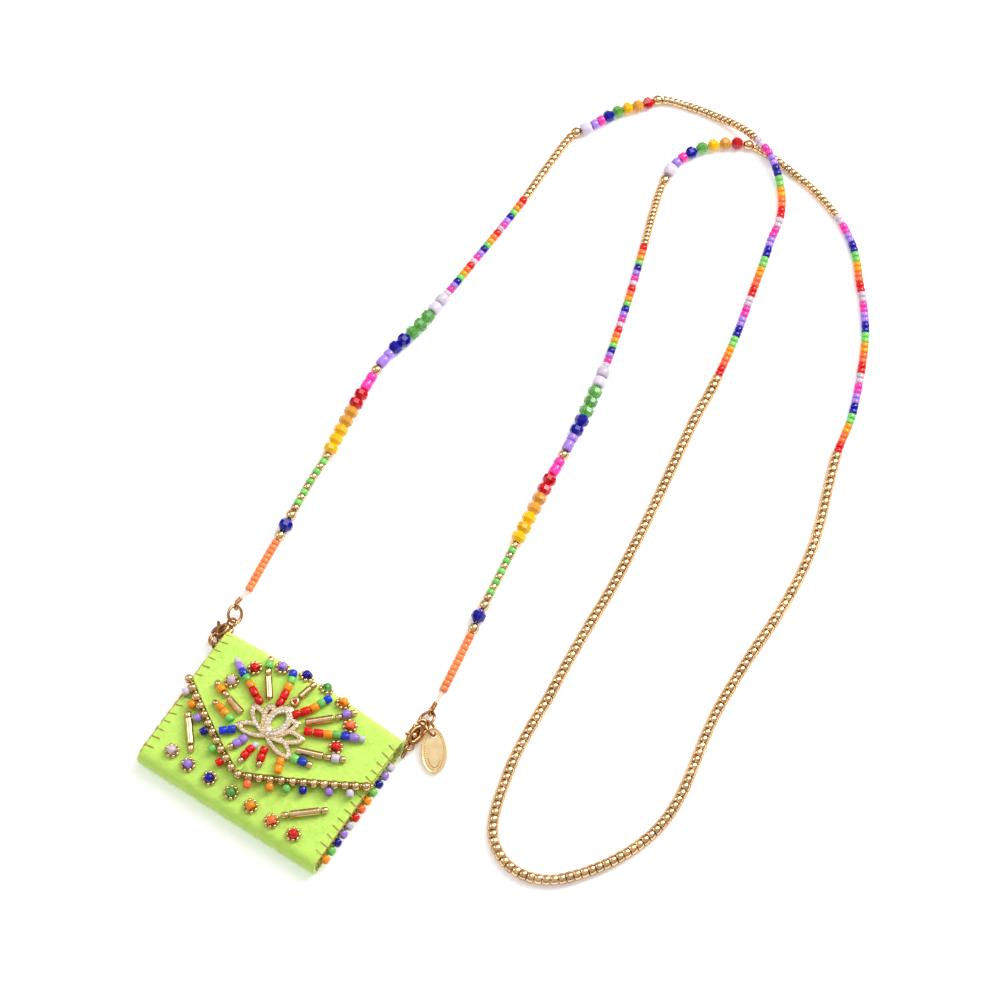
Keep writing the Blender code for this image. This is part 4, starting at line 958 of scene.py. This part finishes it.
pour("lotus_prongs", "prongs", PAVE, "pave")


# Rings and bead tips
# Round brass wire, plated; jump rings are cut and closed, and each end of the
# strand is turned back through an eye and wrapped.
def wire(name, points, radius, body, closed, node=None, finish=FITTING_GOLD):
    """A piece of round wire bent along the given points, in mm."""
    curve = round_curve(name, radius * MM, 4, not closed)
    lay_along(curve, metres(points), closed)
    curve.materials.append(finish)
    piece = lay_down(name, curve)
    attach(piece, body)
    if node:
        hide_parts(node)


def hoop(centre, radius, normal, count=48):
    """Points round a ring that faces along its normal."""
    turn = Vector(normal).normalized().to_track_quat("Z", "Y").to_matrix()
    angles = [2 * pi * k / count for k in range(count)]
    return [Vector(centre) + turn @ Vector((radius * cos(a), radius * sin(a), 0)) for a in angles]


for node, centre, radius, normal, gauge, body in (
        ("corner_ring_right", (29.06, 41.39, 2.45), 1.9, (1, 0.119, -0.047), 0.34, "bag"),
        ("end_ring_right", (28.71, 51.99, 2.22), 2.3, (-0.564, 0, 0.826), 0.40, "bag"),
        ("tag_ring", (31.21, 50.13, 3.01), 2.1, (0.511, 0.653, 0.560), 0.36, "tag_link"),
        ("corner_ring_left", (-30.70, 39.02, 2.28), 1.9, (1, 0.554, 0.441), 0.34, "bag"),
        ("end_ring_left", (-30.84, 48.53, 2.24), 2.3, (0.739, 0.1215, 0.663), 0.40, "bag")):
    wire(f"{node}_wire", hoop(centre, radius, normal), gauge, body, True, node)
for label, eye, end, normal in (("left", (-31.73, 50.56, 2.85), (-32.0, 56.3, 1.3), (0.667, 0.538, -0.516)),
                                ("right", (28.49, 54.29, 2.08), (27.6, 60.9, 1.3), (0.890, 0.209, 0.405))):
    wire(f"strand_eye_{label}", hoop(eye, 0.98, normal, 32), 0.30, "bag", True, f"bead_tip_{label}")
    facing = Vector(normal).normalized()
    lead_way = Vector(end) - Vector(eye)
    start = Vector(eye) + (lead_way - facing * lead_way.dot(facing)).normalized() * 0.98
    way = Vector(end) - start
    side = way.cross(Vector((0, 0, 1))).normalized()
    up = side.cross(way).normalized()
    turns = 5
    coil = []
    for k in range(turns * 12 + 1):
        turn = 2 * pi * k / 12
        coil.append(start + way * 0.38 * k / (turns * 12) + side * 0.46 * cos(turn) + up * 0.46 * sin(turn))
    wire(f"wrapped_coil_{label}", coil, 0.21, "bag", False)
    for half_turn in (0, pi):
        strand_ply = []
        for k in range(49):
            turn = half_turn + 2 * pi * k / 12
            strand_ply.append(start + way * (0.3 + 0.72 * k / 48) + side * 0.22 * cos(turn)
                              + up * 0.22 * sin(turn))
        wire(f"twisted_thread_{label}", strand_ply, 0.22, "bag", False, finish=THREAD)


# Clasps
# Cast lobster clasps, plated a redder gold: a base loop, an open body that
# sweeps into the hook, and a sprung lever whose eye turns on a pin.
def rod(name, points, radii, body, node=None, finish=FITTING_GOLD):
    """A cast bar that swells and tapers along its path, in mm."""
    points = [Vector(p) for p in points]
    sides = 16
    shell = bmesh.new()
    rings = []
    for index, (point, radius) in enumerate(zip(points, radii)):
        way = (points[min(len(points) - 1, index + 1)] - points[max(0, index - 1)]).normalized()
        side = way.cross(Vector((0.1, 0.2, 1.0))).normalized()
        up = side.cross(way)
        angles = [2 * pi * k / sides for k in range(sides)]
        rings.append([shell.verts.new(metres(point + (side * cos(a) + up * sin(a)) * radius))
                      for a in angles])
    for low, high in zip(rings, rings[1:]):
        for k in range(sides):
            shell.faces.new((low[k], low[(k + 1) % sides], high[(k + 1) % sides], high[k]))
    shell.faces.new(rings[0][::-1])
    shell.faces.new(rings[-1])
    bmesh.ops.recalc_face_normals(shell, faces=shell.faces)
    mesh = bpy.data.meshes.new(name)
    shell.to_mesh(mesh)
    shell.free()
    mesh.shade_smooth()
    mesh.set_sharp_from_angle(angle=radians(60))
    mesh.materials.append(finish)
    piece = lay_down(name, mesh)
    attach(piece, body)
    if node:
        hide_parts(node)


for label, base, toward, side, roll in (("right", (28.9, 43.3, 2.07), (28.6, 52.0, 2.07), 1, 0.459),
                                        ("left", (-30.2, 46.2, 2.09), (-31.6, 37.0, 2.09), -1, -0.265)):
    base = Vector(base)
    along = (Vector(toward) - base).normalized()
    across_clasp = Vector((-along.y * side * cos(roll), along.x * side * cos(roll), sin(roll)))
    upward = along.cross(across_clasp)

    def clasp_at(points):
        """The clasp's own points (along, across, up), in the bag's place."""
        return [base + along * u + across_clasp * v + upward * w for u, v, w in points]

    loop = [(1.22 * cos(2 * pi * k / 32), 1.22 * sin(2 * pi * k / 32), 0) for k in range(32)]
    wire(f"clasp_loop_{label}", clasp_at(loop), 0.34, "bag", True)
    # The left clasp's cheeks are slimmer, and its hook and lever stand further apart.
    swell = 1.0 if side > 0 else 0.72
    frame_loop = [(3.4 - 2.35 * swell * cos(2 * pi * k / 40), 0.1 + 1.25 * swell * sin(2 * pi * k / 40), 0)
                  for k in range(40)]
    for height in (-0.6, 0.15) if side > 0 else (-0.5, 0.5):
        wire(f"clasp_cheek_{label}", clasp_at([(u, v, height) for u, v, w in frame_loop]), 0.7, "bag", True)
    # The core fills the clasp's open middle with the darkened plate: painted shade in the recess.
    core = clasp_at([(3.4 + 2.2 * swell * t, 0.1, -0.5) for t in (-1.0, -0.85, -0.45, 0.0, 0.45, 0.85, 1.0)])
    rod(f"clasp_core_{label}", core, (0.3, 0.65, 0.92, 0.98, 0.92, 0.65, 0.3), "bag", finish=PAINTED_SHADE_GOLD)
    # The pin takes the beads' paler plate: a painted highlight, the bright dot in the clasp's middle.
    pin = clasp_at([(3.0, 0.4, w) for w in (-1.15, -1.05, -0.8, 0.6, 0.85, 0.95)])
    rod(f"clasp_pin_{label}", pin, (0.3, 0.62, 0.72, 0.72, 0.62, 0.3), "bag", finish=GOLD)
    bulge = 0.0 if side > 0 else 0.8
    hook = smooth_line([(1.1, 0, 0), (2.0, -0.75 - bulge, 0), (3.4, -1.15 - bulge, 0),
                        (4.8, -1.45 - bulge, 0), (6.2, -1.6 - bulge, 0), (7.5, -1.15 - 0.6 * bulge, 0),
                        (8.0, -0.15, 0), (7.6, 0.95, 0), (6.5, 1.6, 0)], 6)
    girth = np.interp(np.linspace(0, 8, len(hook)), range(9),
                      (0.55, 0.84, 0.84, 0.76, 0.68, 0.62, 0.56, 0.50, 0.42))
    rod(f"clasp_hook_{label}", clasp_at(hook), girth, "bag", f"clasp_body_{label}")
    lean = 0.0 if side > 0 else 0.75
    arm = smooth_line([(2.1, 2.6 + lean, 0), (2.6, 1.8 + lean, 0), (3.3, 1.2 + lean, 0),
                       (4.5, 1.5 + lean, 0), (5.7, 1.85 + 0.4 * lean, 0)], 6)
    girth = np.interp(np.linspace(0, 4, len(arm)), range(5), (0.40, 0.50, 0.62, 0.56, 0.36))
    rod(f"clasp_arm_{label}", clasp_at(arm), girth, f"lever_{label}", f"clasp_lever_{label}")


# Tag
# A stamped oval plate of gold-plated brass, with a raised rim and fine dots
# punched up from its back; it hangs by its hole from the tag ring.
TAG_LONG = 6.1
TAG_SHORT = 3.5
TAG_MID = 4.2


def tag_plate():
    """The plate with its hole at the origin and its length along X."""
    shell = bmesh.new()
    loops = []
    rings = [(1.0, 0.0), (1.0, 0.26), (0.975, 0.42), (0.93, 0.5), (0.885, 0.42), (0.865, 0.27),
             (0.80, 0.25), (0.70, 0.25)]
    count = 64
    for share, z in rings:
        loop = []
        for k in range(count):
            turn = 2 * pi * k / count
            x = TAG_MID + TAG_LONG * cos(turn) - (1 - share) * TAG_SHORT * cos(turn)
            y = TAG_SHORT * share * sin(turn)
            loop.append(shell.verts.new((x * MM, y * MM, z * MM)))
        loops.append(loop)
    for low, high in zip(loops, loops[1:]):
        for k in range(count):
            shell.faces.new((low[k], low[(k + 1) % count], high[(k + 1) % count], high[k]))
    shell.faces.new(loops[-1])
    mirror = bmesh.ops.duplicate(shell, geom=shell.verts[:] + shell.edges[:] + shell.faces[:])
    for v in [g for g in mirror["geom"] if isinstance(g, bmesh.types.BMVert)]:
        v.co.z = -v.co.z
    bmesh.ops.remove_doubles(shell, verts=shell.verts, dist=1e-7)
    bmesh.ops.recalc_face_normals(shell, faces=shell.faces)
    mesh = bpy.data.meshes.new("oval_tag")
    shell.to_mesh(mesh)
    shell.free()
    plate = lay_down("oval_tag", mesh)
    bpy.ops.mesh.primitive_cylinder_add(vertices=32, radius=0.85 * MM, depth=4 * MM)
    punch = bpy.context.active_object
    cut = plate.modifiers.new("tag_hole", "BOOLEAN")
    cut.solver = "EXACT"
    cut.operation = "DIFFERENCE"
    cut.object = punch
    bpy.context.view_layer.update()
    final = bpy.data.meshes.new_from_object(plate.evaluated_get(bpy.context.evaluated_depsgraph_get()))
    plate.modifiers.clear()
    plate.data = final
    bpy.data.objects.remove(punch, do_unlink=True)
    final.shade_smooth()
    final.set_sharp_from_angle(angle=radians(35))
    return plate


TAG_AXIS = Vector((0.571, -0.800, -0.185)).normalized()
tag_side = Vector((0, 0, 1)).cross(TAG_AXIS).normalized()
tag_side.rotate(Matrix.Rotation(0.1, 3, TAG_AXIS))
tag_turn = Matrix((TAG_AXIS, tag_side, TAG_AXIS.cross(tag_side))).transposed()
tag_hole = (32.88, 49.07, 2.73)
tag = tag_plate()
tag.data.transform(Matrix.Translation(metres(tag_hole)) @ tag_turn.to_4x4())
# The stamped plate is finely matt, so it has one soft pale sheen.
TAG_GOLD = plated_gold("pale_gold_plate", "FFEABC", "FAD08E", 0.42)
tag.data.materials.clear()
tag.data.materials.append(TAG_GOLD)
dots = bmesh.new()
for ring_share, dot_count, first, last in ((0.74, 46, 14, 360), (0.52, 17, -62, 62)):
    for k in range(dot_count):
        turn = radians(first + (last - first) * k / dot_count)
        long_reach = TAG_LONG - TAG_SHORT * (1 - ring_share)
        spot = Vector((TAG_MID + long_reach * cos(turn), TAG_SHORT * ring_share * sin(turn), 0.27))
        # No dots next to the hole.
        if spot.xy.length < 1.3:
            continue
        home = Vector(metres(Vector(tag_hole) + tag_turn @ spot))
        bmesh.ops.create_icosphere(dots, subdivisions=1, radius=0.15 * MM, matrix=Matrix.Translation(home))
dot_mesh = bpy.data.meshes.new("tag_dots")
dots.to_mesh(dot_mesh)
dots.free()
dot_mesh.shade_smooth()
dot_mesh.materials.append(FITTING_GOLD)
tag_dots = lay_down("tag_dots", dot_mesh)
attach(tag_dots, "tag_plate")
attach(tag, "tag_plate")
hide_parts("tag")


# Table and light
# A white light table under a soft box, with a broad panel overhead and a small
# one at the left for the metal to reflect, in a room that darkens towards its walls.
bpy.ops.mesh.primitive_plane_add(size=4.0, location=(0, 0, 0))
table = bpy.context.active_object
table.name = "table"
# Matt opal acrylic, lit faintly from below: no highlights, and soft pale shadows.
TABLE = blank("matt_opal_acrylic")
table_body = add(TABLE, "BsdfPrincipled",
                 {"Base Color": colour("FFFFFF"), "Roughness": 0.9, "Specular IOR Level": 0.1,
                  "Emission Color": colour("FFFFFF"), "Emission Strength": 0.2})
add(TABLE, "OutputMaterial", {}, {"Surface": table_body.outputs[0]})
table.data.materials.append(TABLE)
room = bpy.data.worlds.new("room")
bpy.context.scene.world = room
room.use_nodes = True
sky = room.node_tree.nodes["Background"]
sky.inputs["Strength"].default_value = 0.65
way = add(room, "TexCoord")
height_of = add(room, "SeparateXYZ", {}, {"Vector": way.outputs["Generated"]})
fade = add(room, "ValToRGB", {}, {"Fac": height_of.outputs["Z"]})
fade.color_ramp.elements[0].position = 0.0
fade.color_ramp.elements[0].color = (0.16, 0.15, 0.15, 1)
fade.color_ramp.elements[1].position = 0.75
fade.color_ramp.elements[1].color = (0.95, 0.95, 0.96, 1)
room.node_tree.links.new(fade.outputs["Color"], sky.inputs["Color"])
for label, spot, size, power in (("soft_box", (0.22, 0.58, 0.45), 0.34, 4.0),
                                 ("overhead_panel", (0.02, 0.52, 0.96), 0.5, 3.1),
                                 ("left_panel", (-0.6, -0.1, 0.5), 0.3, 1.0)):
    lamp = bpy.data.lights.new(label, "AREA")
    lamp.size = size
    lamp.energy = power
    source = lay_down(label, lamp)
    source.location = spot
    source.rotation_euler = (Vector((0.01, 0.06, 0)) - Vector(spot)).to_track_quat("-Z", "Y").to_euler()
